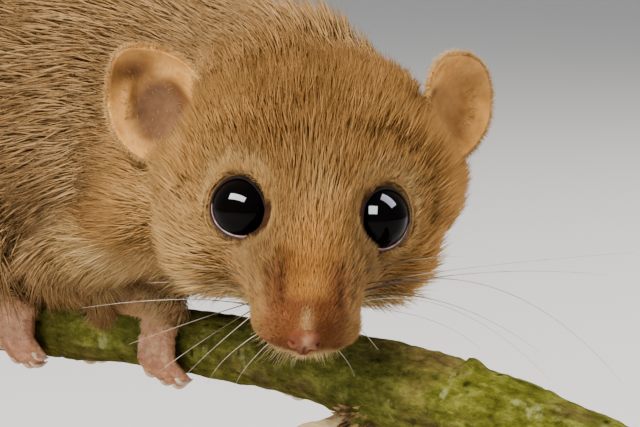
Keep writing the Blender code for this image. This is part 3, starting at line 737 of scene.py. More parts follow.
# Materials of one tone: roughness, gloss, noise of the tone, noise and depth of the relief, colours
TONED = {
    "lid_wet": (
        0.35, 0.3, (1400.0, 4.0), (3000.0, 3.0), 0.03,
        ((0.35, (10, 7, 6)), (0.7, (34, 22, 18))),
        ("corner", ((0.35, (112, 62, 48)), (0.7, (176, 128, 116)))),
    ),
    # Pale line along the lower lids: a painted highlight of the wet lid margin
    "lid_edge_highlight": (
        0.18, 0.6, (1600.0, 3.0), (3000.0, 3.0), 0.03, ((0.35, (120, 84, 84)), (0.7, (176, 140, 140))),
    ),
    "claw_horn": (
        0.3, 0.5, (1200.0, 3.0), (2600.0, 2.0), 0.02, ((0.3, (196, 178, 150)), (0.7, (226, 212, 186))),
    ),
    "bud_scale": (
        0.55, 0.35, (1300.0, 5.0), (2600.0, 4.0), 0.08,
        ((0.36, (48, 30, 16)), (0.5, (96, 66, 34)), (0.62, (150, 128, 74))),
    ),
    "floor_pale": (
        0.7, 0.2, (3.0, 2.0), None, 0.0, ((0.3, (214, 213, 210)), (0.7, (220, 219, 216))),
    ),
}


def toned_material(name):
    roughness, gloss, grain, relief, depth, *layers = TONED[name]
    paint = Paint(name, roughness, gloss)
    colour = paint.layers(paint.noise(*grain), *layers)
    return paint.finish(colour, relief and paint.noise(*relief), depth)


def nose_material():
    """Leather of the nose: red-brown sides, a pale pinkish ridge down its middle that is partly a painted
    highlight, and painted shade in the nostrils and the groove.
    """
    paint = Paint("nose_leather", 0.6, 0.15)
    colour = paint.layers(
        paint.noise(1500.0, 4.0),
        ((0.3, (82, 40, 22)), (0.7, (112, 60, 36))),
        ("pale", ((0.3, (126, 88, 60)), (0.7, (168, 128, 98)))),
    )
    # Painted shade in the nostril pits and the groove
    colour = paint.mix(paint.mask("dark"), colour, (44, 22, 16))
    return paint.finish(colour, paint.value("ADD", paint.cells(9000.0), paint.noise(4000.0, 3.0)), 0.015)


def ear_material():
    """Thin ear: golden at the rim, greyer down in the cup and darker there as painted shade, with painted
    shadow under the tip and painted shade in a crease.
    """
    paint = Paint("ear_skin", 0.6, 0.2)
    paint.soften((1.0, 0.5, 0.28), 0.6)
    colour = paint.layers(
        paint.noise(800.0, 5.0),
        ((0.3, (172, 116, 54)), (0.7, (212, 158, 86))),
        ("cup", ((0.3, (78, 54, 36)), (0.7, (106, 76, 52)))),
    )
    # Painted shadow under the tip and painted shade in the crease
    colour = paint.mix(paint.mask("dark"), colour, (72, 42, 18))
    return paint.finish(colour, paint.noise(2200.0, 4.0), 0.06)


def whisker_material():
    """Stiff hair: dark where it leaves the lip, clear and pale towards its tip."""
    paint = Paint("whisker", 0.4, 0.25)
    tone = paint.noise(900.0, 2.0)
    root = paint.ramp(tone, (0.3, (34, 24, 18)), (0.7, (70, 52, 38)))
    tip = paint.ramp(tone, (0.3, (150, 138, 120)), (0.7, (196, 186, 168)))
    share = paint.ramp(paint.mask("along"), (0.0, 0.0), (0.5, 0.06), (0.8, 0.7), (1.0, 1.0))
    return paint.finish(paint.mix(paint.value("MAXIMUM", share, paint.mask("pale")), root, tip))


def bark_material():
    """Grey-brown bark under a green film, with moss in its pores and pale lichen specks."""
    paint = Paint("bark_green", 0.85, 0.15)
    along = paint.coordinates((0.45, 1.0, 1.0))
    film = paint.noise(170.0, 6.0, 0.62, along)
    grain = paint.noise(1100.0, 8.0, 0.75, along)
    wood = paint.ramp(grain, (0.34, (44, 32, 14)), (0.5, (84, 68, 36)), (0.66, (112, 94, 54)))
    green = paint.ramp(grain, (0.32, (44, 46, 8)), (0.5, (88, 88, 26)), (0.68, (130, 130, 58)))
    colour = paint.mix(paint.ramp(film, (0.36, 0.0), (0.52, 1.0)), wood, green)
    specks = paint.ramp(paint.cells(760.0), (0.12, 1.0), (0.3, 0.0))
    moss = paint.ramp(paint.noise(420.0, 4.0), (0.5, 0.0), (0.6, 1.0))
    colour = paint.mix(paint.value("MULTIPLY", specks, moss), colour, (34, 38, 6))
    lichen = paint.ramp(paint.noise(330.0, 6.0, 0.65), (0.6, 0.0), (0.66, 1.0))
    colour = paint.mix(paint.value("MULTIPLY", lichen, 0.45), colour, (160, 164, 110))
    colour = paint.mix(paint.mask("cut"), colour, cut_wood_colour(paint))
    fibres = paint.noise(900.0, 5.0, 0.65, paint.coordinates((0.3, 1.0, 1.0), (0.0, 0.0, 0.5)))
    bare = paint.ramp(fibres, (0.3, (124, 100, 64)), (0.5, (182, 158, 116)), (0.75, (214, 196, 158)))
    colour = paint.mix(paint.mask("twig"), colour, bare)
    paint.set("Roughness", paint.ramp(film, (0.3, 0.75), (0.7, 0.95)))
    return paint.finish(colour, paint.value("ADD", grain, paint.value("MULTIPLY", specks, 0.5)), 0.55)


def cut_wood_colour(paint):
    rings = paint.add("ShaderNodeTexWave", wave_type="RINGS", rings_direction="X")
    rings.inputs["Scale"].default_value = 520.0
    rings.inputs["Distortion"].default_value = 3.0
    rings.inputs["Detail"].default_value = 3.0
    paint.feed(rings.inputs["Vector"], paint.coordinates())
    return paint.ramp(rings.outputs["Fac"], (0.0, (168, 138, 92)), (1.0, (206, 180, 134)))


def base_material():
    """Dark oiled wood with its grain along the base."""
    paint = Paint("base_wood", 0.4, 0.4)
    bands = paint.noise(260.0, 6.0, 0.6, paint.coordinates((0.12, 1.0, 1.0)), 0.6)
    pores = paint.noise(1800.0, 4.0, 0.6, paint.coordinates((0.05, 1.0, 1.0)))
    colour = paint.ramp(bands, (0.3, (84, 56, 36)), (0.5, (118, 82, 54)), (0.72, (146, 106, 72)))
    colour = paint.mix(paint.ramp(pores, (0.62, 0.0), (0.72, 0.5)), colour, (52, 34, 22))
    paint.set("Roughness", paint.ramp(bands, (0.3, 0.36), (0.7, 0.5)))
    return paint.finish(colour, paint.value("ADD", bands, pores), 0.08)


def metal_material():
    """Brushed steel rods."""
    paint = Paint("rod_steel", 0.3, metal=1.0)
    brush = paint.noise(1800.0, 4.0, 0.6, paint.coordinates((1.0, 1.0, 0.04)))
    paint.set("Roughness", paint.ramp(brush, (0.3, 0.24), (0.7, 0.4)))
    return paint.finish(paint.ramp(brush, (0.3, (150, 149, 146)), (0.7, (186, 185, 182))), brush, 0.02)


def dress(item, material, slot=None):
    item.data.materials.clear()
    item.data.materials.append(material)
    if slot:
        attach(item, "root")


# Fields over the body: how deep, long and dense the coat is, how it lies and is marked


def corner_gap(points):
    """Distance from the flank of the muzzle in front of the nearer eye's inner corner."""
    return gap_to(head_local(points), *((4.3, 4.0 * sign, 0.8) for sign in SIDE_SIGN.values()))


def nose_gap(points):
    return gap_to(head_local(points), NOSE_TIP)


def paw_gap(points):
    return gap_to(points, *(bones[-1] for bones in LEG_BONES))


def ear_gap(points):
    return gap_to(head_local(points), *(ear.middle for ear in EARS.values()))


GAPS = {"lid": lid_gap, "corner": corner_gap, "nose": nose_gap, "paw": paw_gap, "ear": ear_gap}


def body_share(points):
    """0 on the head, 1 on the body."""
    local = head_local(points)
    return smoothstep(8.0, 15.0, -local[:, 0] + 0.25 * np.abs(local[:, 2] + 2.0))


def tail_share(points):
    middle, _, gap = tail_place(points)
    return smoothstep(20.0, 23.0, -middle[:, 0]) * smoothstep(4.6, 3.2, gap)


def tail_root_flow(points, way):
    """Turn the hair of the rump round the tail's root to lie back along the tail."""
    middle, along, gap = tail_place(points)
    place = middle[:, 0]
    hold = smoothstep(-10.0, -15.0, place) * smoothstep(-29.0, -25.0, place) * smoothstep(8.0, 4.5, gap)
    return unit(way + (along - way) * 0.95 * hold[:, None])


def limited(measure, points, limits):
    """Keep a measure of the coat small near bare places."""
    for place, (start, growth, free) in limits.items():
        measure = np.minimum(measure, start + growth * np.maximum(GAPS[place](points) - free, 0.0))
    return measure


def coat_depth(points):
    """How far the skin lies under the outer shape."""
    depth = limited(1.15 + 0.95 * body_share(points), points, DEPTH_LIMITS)
    core = tail_share(points) * smoothstep(3.0, 2.5, tail_place(points)[2])
    return depth * (1.0 - core) + 0.05 * core


def coat_length(points):
    length = limited(2.9 + 3.4 * body_share(points), points, LENGTH_LIMITS)
    tail = tail_share(points)
    return length * (1.0 - tail) + 7.2 * tail


def coat_flow(points, surface_normals):
    """Direction in which the hair lies, along the surface."""
    local = head_local(points)
    source = NOSE_TIP + np.array([3.0, 0.0, -1.2])
    head_way = unit(local - source)
    near = np.exp(-np.minimum(np.maximum(lid_gap(points), 0.0), 0.6 * corner_gap(points)) / 0.8)
    for side in SIDE_SIGN:
        away = local - np.array([0.0, SIDE_SIGN[side] * EYE_OFFSET, 0.0])
        close = near * (np.linalg.norm(away, axis=1) < 6.0)
        head_way += unit(away) * (1.4 * close)[:, None]
    head_way = unit(head_way) @ HEAD_AXES.T
    body_way = np.tile(np.array([-1.0, 0.0, -0.22]), (len(points), 1))
    share = body_share(points)[:, None]
    way = head_way * (1.0 - share) + body_way * share
    for bones in LEG_BONES:
        for start, end in zip(bones, bones[1:]):
            hold = bell(nearness_to_bone(points, start, end), 3.0)[:, None]
            way = way * (1.0 - 0.8 * hold) + unit(np.array(end) - np.array(start)) * (0.8 * hold)
    _, along, _ = tail_place(points)
    tail = tail_share(points)[:, None]
    way = way * (1.0 - tail) + along * tail
    return along_surface(way, surface_normals)


# Rows of dark spots that the whiskers leave from, in the head frame
WHISKER_SPOTS = {
    "right": (
        (7.2, -2.4, -0.7), (7.8, -2.4, -1.2), (8.4, -2.3, -1.7), (8.9, -2.3, -2.2), (7.1, -3.1, -1.3),
        (7.6, -3.1, -1.8), (8.1, -3.1, -2.3), (6.4, -3.8, -2.2), (6.6, -3.8, -2.9), (6.9, -3.8, -3.5),
    ),
    "left": (
        (7.2, 1.4, -0.8), (7.9, 1.4, -1.4), (8.4, 1.4, -1.9), (8.8, 1.4, -2.3), (6.6, 2.3, -0.9),
        (7.0, 2.4, -1.5), (7.4, 2.4, -2.0), (7.8, 2.4, -2.4), (5.2, 3.3, -2.1), (5.0, 3.5, -3.0),
    ),
}


def markings(points, surface_normals):
    """Masks of the coat's colours at points of the surface, with painted shade below the eyes and painted
    light on the right cheek among them.
    """
    local = head_local(points)
    forward, left, up = local.T
    head = 1.0 - body_share(points)
    middle = left - NOSE_TIP[1] * smoothstep(0.0, 9.0, forward)
    nose = nose_gap(points)
    warm = smoothstep(1.8, 6.0, forward) * bell(middle, 1.3) * smoothstep(-5.6, -4.0, up)
    wings = bell(np.abs(middle) - 1.9, 0.6) * smoothstep(6.0, 7.8, forward) * smoothstep(-6.6, -5.8, up)
    red = np.clip(wings + smoothstep(2.7, 1.7, nose) * smoothstep(-6.4, -5.6, up), 0.0, 1.0)
    flank = smoothstep(1.2, 2.6, np.abs(middle)) * smoothstep(1.0, 3.5, forward) * smoothstep(1.5, -1.0, up)
    lips = smoothstep(-4.9, -5.7, up) * smoothstep(-3.0, 1.5, forward) * smoothstep(1.4, 2.0, nose)
    throat = smoothstep(-6.4, -8.4, up) * head
    belly = smoothstep(-0.35, -0.8, surface_normals[:, 2]) * (1.0 - head)
    belly = belly * smoothstep(-16.0, -8.0, points[:, 0])
    gap = lid_gap(points)
    above = smoothstep(-3.5, 1.5, up)
    outer = smoothstep(2.2, 4.6, np.abs(left))
    ring = 0.4 * bell(gap - 1.0, 0.5) * (0.3 + 0.7 * above * outer) * head
    ridge = 0.25 * bell(forward - 3.4, 1.8) * bell(middle, 1.3)
    # Painted shade below the inner corners of both eyes, added to the dark lid rims
    under = gap_to(np.stack([forward, np.abs(left), up], axis=1), (4.6, 4.0, -1.2))
    dark = 0.85 * smoothstep(0.26, 0.08, gap) + 0.34 * bell(under, 1.7)
    dark = dark + 0.1 * bell(forward + 3.0, 4.0) * bell(left, 4.0) * smoothstep(1.0, 3.0, up)
    # Painted light: the right cheek alone is made paler, as if lit from that side
    painted_light_cheek = 0.3 * bell(left + 8.0, 2.2) * bell(up + 4.0, 2.4) * head
    for side in SIDE_SIGN:
        for spot in WHISKER_SPOTS[side]:
            dark = dark + 0.8 * bell(gap_to(local, spot), 0.16)
    snout = 0.4 * bell(middle, 0.3) * smoothstep(2.0, 1.2, nose) * smoothstep(-4.3, -3.7, up)
    pales = [snout, painted_light_cheek, lips * 0.95, throat * 0.85, belly * 0.9, ring, ridge, 0.06 * flank]
    return {
        "back": np.maximum(body_share(points), 0.45 * flank),
        "warm": np.clip(warm, 0.0, 1.0) * 0.9,
        "red": red * 0.85,
        "pale": np.clip(np.maximum.reduce(pales), 0.0, 1.0),
        "dark": np.clip(dark, 0.0, 1.0),
    }


# Skin and coat


def tail_core():
    """Body of the tail inside its hair."""
    along, radii = np.array(TAIL_CORE).T
    path = [row for row in smooth_path(TAIL_STATIONS, 4) if row[0] > along[-1]]
    widths = [float(np.interp(-row[0], -along, radii)) for row in path]
    return tubes("tail_core", [([row[:3] for row in path], widths)], 24)


def hug_eyes(points):
    """Lay the skin closely round the eyeballs beyond the lids, and sink it behind them."""
    for side in SIDE_SIGN:
        reach, spread = lid_spread(points, side)
        bare = smoothstep(9.0, 0.0, spread) * smoothstep(3.9, 3.3, reach)
        beyond = np.radians(spread) * 2.6
        hugging = smoothstep(1.9, 0.6, beyond) * smoothstep(0.0, 0.3, beyond) * smoothstep(4.2, 3.2, reach)
        wanted = reach + (2.66 + 0.4 * beyond - reach) * hugging
        wanted = wanted + (2.1 - wanted) * bare
        centre = np.array(eye_centre(side))
        points = centre + (points - centre) * (wanted / np.maximum(reach, 0.1))[:, None]
    return points


def soften_beside_eyes(item):
    """Smooth the creases away that hugging the eyes leaves in the skin."""
    points = places(item.data)
    gap = lid_gap(points)
    beside = smoothstep(0.35, 0.9, gap) * smoothstep(4.2, 2.6, gap)
    beside = beside * smoothstep(-3.0, 1.0, head_local(points)[:, 0])
    group = item.vertex_groups.new(name="beside_eyes")
    for index in np.flatnonzero(beside > 0.02):
        group.add([int(index)], float(beside[index]), "REPLACE")
    apply_modifier(item, "SMOOTH", factor=0.6, iterations=24, vertex_group="beside_eyes")


def clear_ear_cups(points):
    """Keep the skin of the head behind the leaves of the ears."""
    for side in SIDE_SIGN:
        reach, above = ear_cup_place(points, side)
        facing = HEAD_AXES @ np.array(ear_directions(side)[2])
        ceiling = -0.55 + 5.0 * smoothstep(0.98, 1.5, reach)
        excess = np.maximum(above - ceiling, 0.0) * smoothstep(8.0, 5.5, above) * (above > -1.0)
        points = points - facing * excess[:, None]
    return points


def make_skin():
    """One skin in place of the flesh and tail nodes, sunk by the depth of the coat."""
    item = joined_copy("skin", FLESH_NODES, [tail_core()])
    swell(item, SEAM_FILL)
    melt(item, SKIN_VOXEL, 5, single=True)
    swell(item, -SEAM_FILL)
    points = places(item.data)
    forward, left, up = head_local(points).T
    slit = up - (MOUTH_LEVEL - MOUTH_FALL * forward)
    sink = coat_depth(points) + 0.3 * bell(slit, 0.3) * smoothstep(-2.5, 0.0, forward)
    sink += 0.6 * bell(corner_gap(points), 1.2)
    narrow = smoothstep(1.4, 3.4, np.abs(left + 0.4)) * smoothstep(-4.4, -6.4, up)
    sink += 0.75 * narrow * smoothstep(0.5, 3.0, forward)
    move(item, hug_eyes(points - normals(item.data) * sink[:, None]))
    apply_modifier(item, "SMOOTH", factor=0.5, iterations=3)
    soften_beside_eyes(item)
    move(item, clear_ear_cups(places(item.data)))
    return item


class Surface:
    """Triangles of a mesh ready for hairs to be rooted on."""

    def __init__(self, item):
        mesh = item.data
        mesh.calc_loop_triangles()
        self.corners = read(mesh.loop_triangles, "vertices", 3, np.int32)
        self.loops = read(mesh.loop_triangles, "loops", 3, np.int32)
        self.points = places(mesh)
        self.normals = normals(mesh)
        self.uv = read(mesh.uv_layers["OFBake"].data, "uv", 2)
        sides = self.points[self.corners]
        self.centres = sides.mean(axis=1)
        crossed = np.cross(sides[:, 1] - sides[:, 0], sides[:, 2] - sides[:, 0])
        self.areas = 0.5 * np.linalg.norm(crossed, axis=1)

    def scatter(self, count, weight):
        """Random roots, more where the weight is greater: places, normals and map places."""
        running = np.cumsum(self.areas * weight)
        picks = np.searchsorted(running, RANDOM.random(count) * running[-1])
        first = np.sqrt(RANDOM.random(count))
        second = RANDOM.random(count)
        shares = np.stack([1.0 - first, first * (1.0 - second), first * second], axis=1)[:, :, None]
        root = (self.points[self.corners[picks]] * shares).sum(axis=1)
        facing = unit((self.normals[self.corners[picks]] * shares).sum(axis=1))
        spot = (self.uv[self.loops[picks]] * shares).sum(axis=1)
        return root, facing, spot


TUFT_FACES = np.array([(0, 2, 1), (0, 3, 2), (0, 1, 3), (4, 1, 2), (4, 2, 3), (4, 3, 1)])
TUFT_SIDE = np.array([0.0, -1.0, 1.0, 0.0, 0.0])
TUFT_RISE = np.array([0.0, -0.3, -0.3, 0.9, 0.0])
TUFT_STAGE = np.array([0, 1, 1, 1, 2])
TUFT_SHARE = np.array([0.0, 0.4, 0.4, 0.4, 1.0])
PATCH_HALF = 0.0014


def tufts(name, root, facing, way, length, width, lift, spot, masks, material, slot):
    """Closed tufts, pointed at both ends, that rise from the skin and then lie along it."""
    count = len(root)
    lower, upper = lift[:, None] * 1.5, lift[:, None] * 0.55
    first = (way * np.cos(lower) + facing * np.sin(lower)) * (0.4 * length[:, None])
    second = (way * np.cos(upper) + facing * np.sin(upper)) * (0.6 * length[:, None])
    start = root - facing * np.minimum(0.1, 0.1 * length)[:, None]
    stages = np.stack([start, start + first, start + first + second], axis=1)
    across = unit(np.cross(way, facing))
    half = 0.5 * width[:, None, None]
    points = stages[:, TUFT_STAGE, :]
    points = points + across[:, None, :] * half * TUFT_SIDE[None, :, None]
    points = points + facing[:, None, :] * half * TUFT_RISE[None, :, None]

    mesh = bpy.data.meshes.new(name)
    mesh.vertices.add(count * 5)
    mesh.vertices.foreach_set("co", (points * MM).astype(np.float32).ravel())
    faces = (TUFT_FACES[None, :, :] + 5 * np.arange(count)[:, None, None]).reshape(-1, 3)
    mesh.loops.add(faces.size)
    mesh.loops.foreach_set("vertex_index", faces.ravel().astype(np.int32))
    mesh.polygons.add(len(faces))
    mesh.polygons.foreach_set("loop_start", np.arange(0, faces.size, 3, dtype=np.int32))
    mesh.polygons.foreach_set("loop_total", np.full(len(faces), 3, dtype=np.int32))
    layer = mesh.uv_layers.new(name="OFBake")
    patch = np.stack([TUFT_SIDE * PATCH_HALF, (TUFT_SHARE - 0.5) * 2.0 * PATCH_HALF], axis=1)
    flat = (spot[:, None, :] + patch[None, :, :]).reshape(-1, 2)
    layer.data.foreach_set("uv", flat[faces.ravel()].astype(np.float32).ravel())
    mesh.update()
    mesh.validate()
    mesh.shade_smooth()
    float_attribute(mesh, "along", np.tile(TUFT_SHARE, count))
    for key, values in masks.items():
        float_attribute(mesh, key, np.repeat(values, 5))
    item = bpy.data.objects.new(name, mesh)
    bpy.context.scene.collection.objects.link(item)
    dress(item, material, slot)
    return item


def coat(name, surface, weight, material):
    """One region of the coat, cut into pieces of a bounded size."""
    hair = COATS[name]
    count = hair.count
    root, facing, spot = surface.scatter(count, weight)
    length = coat_length(root)
    tail = tail_share(root)
    tail_depth = 2.9 - 1.8 * smoothstep(-33.0, -24.0, root[:, 0])
    depth = coat_depth(root) * (1.0 - tail) + tail_depth * tail
    lift = np.arcsin(np.clip(depth / length * hair.stand, 0.1, 0.62))
    clump = drift(root, hair.clump, 1) * hair.stray
    wild = RANDOM.normal(size=(count, 3)) * hair.stray * 0.5
    way = tail_root_flow(root, along_surface(coat_flow(root, facing) + clump + wild, facing))
    length = length * RANDOM.uniform(0.7, 1.2, count)
    lift = lift * RANDOM.uniform(0.55, 1.4, count)
    width = hair.width * np.clip(length / hair.full_length, 0.5, 1.0) * RANDOM.uniform(0.75, 1.25, count)
    masks = markings(root, facing)
    shared = 0.5 + 0.5 * np.clip(drift(root, hair.clump * 0.8, 2)[:, 0] * 1.6, -1.0, 1.0)
    forward, left, up = head_local(root).T
    brow = bell(forward + 3.0, 4.0) * bell(left, 4.0) * (up > 2.0)
    tone = 0.55 * RANDOM.random(count) + 0.45 * shared - 0.5 * brow * RANDOM.random(count)
    masks["tone"] = np.clip(tone, 0.0, 1.0)
    order = np.argsort(root[:, 0])
    for index, part in enumerate(np.array_split(order, math.ceil(count / TUFTS_PER_PIECE))):
        measures = (values[part] for values in (root, facing, way, length, width, lift, spot))
        kept = {key: values[part] for key, values in masks.items()}
        tufts(f"{name}_{index + 1}", *measures, kept, material, hair.slot)


def add_down(name, kind, roots, way, length, masks, material, broad=1.0, pale_stray=0.0):
    """Fine hair of one kind on a small piece; masks that aren't given stay empty."""
    root, facing, spot = roots
    count = kind.count
    way = along_surface(unit(way + kind.stray * RANDOM.normal(size=(count, 3))), facing)
    length = length * RANDOM.uniform(*kind.length, count)
    lift = RANDOM.uniform(*kind.lift, count)
    width = RANDOM.uniform(*kind.width, count) * broad
    masks = {**no_marks(count), **masks}
    if pale_stray:
        masks["pale"] = masks["pale"] + pale_stray * RANDOM.random(count)
    low, spread = kind.tone
    masks["tone"] = low + spread * RANDOM.random(count)
    tufts(name, root, facing, way, length, width, lift, spot, masks, material, "fur")


def no_marks(count):
    return {key: np.zeros(count) for key in ("back", "warm", "red", "pale", "dark")}


def ear_place(points, side):
    """Places across, up and in front of an ear's middle, and share of the way to its rim."""
    away = head_local(points) - np.array(EARS[side].middle)
    wide, high, front = (away @ np.array(way) for way in ear_directions(side))
    size = EARS[side].size
    across, rise = wide / (EAR_HALF_WIDTH * size), high / (EAR_HALF_HEIGHT * size)
    reach = np.hypot(across, rise)
    return wide, high, front, reach / (EAR_SPREAD - EAR_LEAN * across / np.maximum(reach, 1e-6))


def ear_cup_place(points, side):
    """Share of the way from an ear's middle to its rim, and height above the ear's leaf."""
    _, _, front, reach = ear_place(points, side)
    return reach, front + EAR_DEPTH * (1.0 - reach ** 2)


def in_ear_cup(points):
    """True for skin that lies under the leaf of an ear or just shows in its cup."""
    inside = np.zeros(len(points), dtype=bool)
    for side in SIDE_SIGN:
        reach, above = ear_cup_place(points, side)
        inside |= (reach < 1.02) & (above < 0.3) & (above > -2.0)
    return inside


def make_coats(skin):
    surface = Surface(skin)
    centres = surface.centres
    open_skin = (lid_gap(centres) > 0.1) & (nose_gap(centres) > 0.8) & ~in_ear_cup(centres)
    body = body_share(centres)
    tail = tail_share(centres)
    face = (head_local(centres)[:, 0] > -3.0) & (body < 0.5)
    density = 1.0 / np.maximum(coat_length(centres), 0.6)
    fur = coat_material("coat_fur")
    coat("coat_face", surface, density ** 1.4 * open_skin * face, fur)
    coat("coat_head", surface, density * open_skin * ~face * (body < 0.5), fur)
    coat("coat_body", surface, density * open_skin * (body >= 0.5) * (tail < 0.5), fur)
    coat("coat_tail", surface, 1.0 * (tail >= 0.5), fur)


# Eyes and lids


# Profile of a lid: degrees beyond its edge, height over the eyeball, share of the corner's colour
LID_PROFILE = (
    (1.2, 0.01, 1.0), (0.0, 0.05, 1.0), (0.6, 0.12, 1.0), (2.4, 0.16, 0.6), (6.0, 0.19, 0.0),
    (12.0, 0.2, 0.0), (20.0, 0.12, 0.0), (24.0, -0.15, 0.0), (12.0, -0.3, 0.0), (4.0, -0.2, 0.0),
)
LID_STEPS = 144
LOWER_LID = {"right": (-125.0, 16.0), "left": (-12.0, 105.0)}
LOWER_LID_STEPS = 70


def lid_point(side, turn, spread, lift):
    """Place beyond the lid's edge by a spread in degrees, and above the eyeball by a lift."""
    axis, corner, across = eye_basis(side)
    opening = math.radians(float(lid_opening(side, turn)) + spread)
    angle = math.radians(turn)
    out = corner * math.cos(angle) + across * math.sin(angle)
    way = axis * math.cos(opening) + out * math.sin(opening)
    return Vector(np.array(eye_centre(side)) + way * (EYEBALL_RADIUS + lift))


def make_lids(side, material, fur):
    """Thin lids that hug the eyeball, drawn out to a point at the inner corner, and their hair."""
    shape = bmesh.new()
    turns = np.array([360.0 * step / LID_STEPS - 180.0 for step in range(LID_STEPS)])
    rows = [
        [shape.verts.new(lid_point(side, turn, spread, lift)) for spread, lift, _ in LID_PROFILE]
        for turn in turns
    ]
    for row, following in zip(rows, rows[1:] + rows[:1]):
        add_band(shape, row, following)
    item = closed_object("lids_" + side, shape)
    corner = bell(np.repeat(np.abs(turns - 8.0), len(LID_PROFILE)), 16.0)
    float_attribute(item.data, "corner", corner * np.tile([share for _, _, share in LID_PROFILE], LID_STEPS))
    unwrap(item)
    dress(item, material, "skin")

    surface = Surface(item)
    reach, spread = lid_spread(surface.centres, side)
    weight = (spread > 2.2) * (spread < 22.0) * (reach > EYEBALL_RADIUS + 0.03)
    roots = root, facing, _ = surface.scatter(LID_DOWN.count, weight)
    axis = np.array(eye_direction(side))
    away = root - np.array(eye_centre(side))
    way = unit(away - axis * (away @ axis)[:, None])
    length = 0.2 + 0.02 * lid_spread(root, side)[1]
    add_down("coat_lid_" + side, LID_DOWN, roots, way, length, markings(root, facing), fur)


def make_eyes():
    eye = eye_material()
    lid = toned_material("lid_wet")
    rim = toned_material("lid_edge_highlight")
    fur = bpy.data.materials["coat_fur"]
    for side in SIDE_SIGN:
        radii = (EYEBALL_RADIUS,) * 3
        item = ellipsoid("eyeball_" + side, eye_centre(side), radii, Matrix.Identity(4), 96, 64)
        dress(item, eye, "eye")
        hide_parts("eye_" + side)
        make_lids(side, lid, fur)
        # Thin pale tube along each lower lid: a painted highlight of the wet lid margin
        turns = np.linspace(*LOWER_LID[side], LOWER_LID_STEPS)
        points = [lid_point(side, turn, 0.3, 0.05) for turn in turns]
        shares = [(index + 0.5) / LOWER_LID_STEPS for index in range(LOWER_LID_STEPS)]
        radii = [0.055 * math.sin(math.pi * share) ** 0.4 for share in shares]
        dress(tubes("lid_edge_highlight_" + side, [(points, radii)], 8), rim, "skin")


# Nose


# Forms of the nose pad: place off its tip and half sizes, in the head frame
NOSE_FORMS = (
    ((-0.1, 0.0, -0.2), (1.12, 1.16, 1.02)),
    ((-0.12, 0.04, -0.1), (1.12, 0.66, 0.9)),
    ((-0.25, 0.0, -1.1), (0.92, 0.5, 0.75)),
    ((0.08, -0.72, -0.5), (0.94, 0.52, 0.5)),
    ((0.08, 0.72, -0.5), (0.94, 0.52, 0.5)),
)


def make_nose():
    """Nose pad with its wings, nostrils and the groove down to the lip."""
    tip = Vector(NOSE_TIP)
    forms = [ellipsoid("nose", tip + Vector(place), radii, HEAD_FRAME) for place, radii in NOSE_FORMS]
    item = joined_copy("nose_pad", (), forms)
    melt(item, NOSE_VOXEL, 10)
    local = head_local(places(item.data)) - NOSE_TIP
    forward, left, up = local.T
    pits = np.zeros(len(local))
    for sign in SIDE_SIGN.values():
        slant = local - np.array([0.7, 1.02 * sign, -0.42])
        slant[:, 1] += 0.5 * slant[:, 2] * sign
        pits += bell(np.linalg.norm(slant * np.array([0.5, 1.2, 1.5]), axis=1), 0.22)
    groove = bell(left, 0.1) * smoothstep(-0.35, -0.75, up) * smoothstep(-0.2, 0.3, forward)
    swell(item, -(0.5 * pits + 0.16 * groove))
    # Pale ridge: the pad's paler pink middle with a painted highlight down it; the wings are paler pink
    ridge = bell(left - 0.1, 0.27) * smoothstep(0.75, 0.0, up) * smoothstep(-1.2, -0.6, up)
    wings = bell(np.abs(left) - 0.65, 0.3) * bell(up + 0.75, 0.35)
    float_attribute(item.data, "pale", np.clip(0.85 * ridge + 0.22 * wings, 0.0, 1.0))
    # Painted shade in the nostril pits and the groove
    float_attribute(item.data, "dark", np.clip(1.1 * pits + 0.55 * groove, 0.0, 1.0))
    dress(item, nose_material(), "skin")


# Ears


EAR_SECTORS = 96
EAR_CIRCLES = 26
# Folds down in the cup: height, place and width on the way to the rim, and round the ear
EAR_FOLDS = ((0.38, 0.45, 0.12, -2.2, 0.8), (0.3, 0.62, 0.1, 0.4, 0.7))


def ear_directions(side):
    """Ways across, up and out of an ear, in the head frame."""
    facing = EARS[side].facing.normalized()
    rise = EARS[side].rise
    rise = (rise - facing * rise.dot(facing)).normalized()
    across = rise.cross(facing)
    if across.y * SIDE_SIGN[side] < 0.0:
        across = -across
    return across, rise, facing


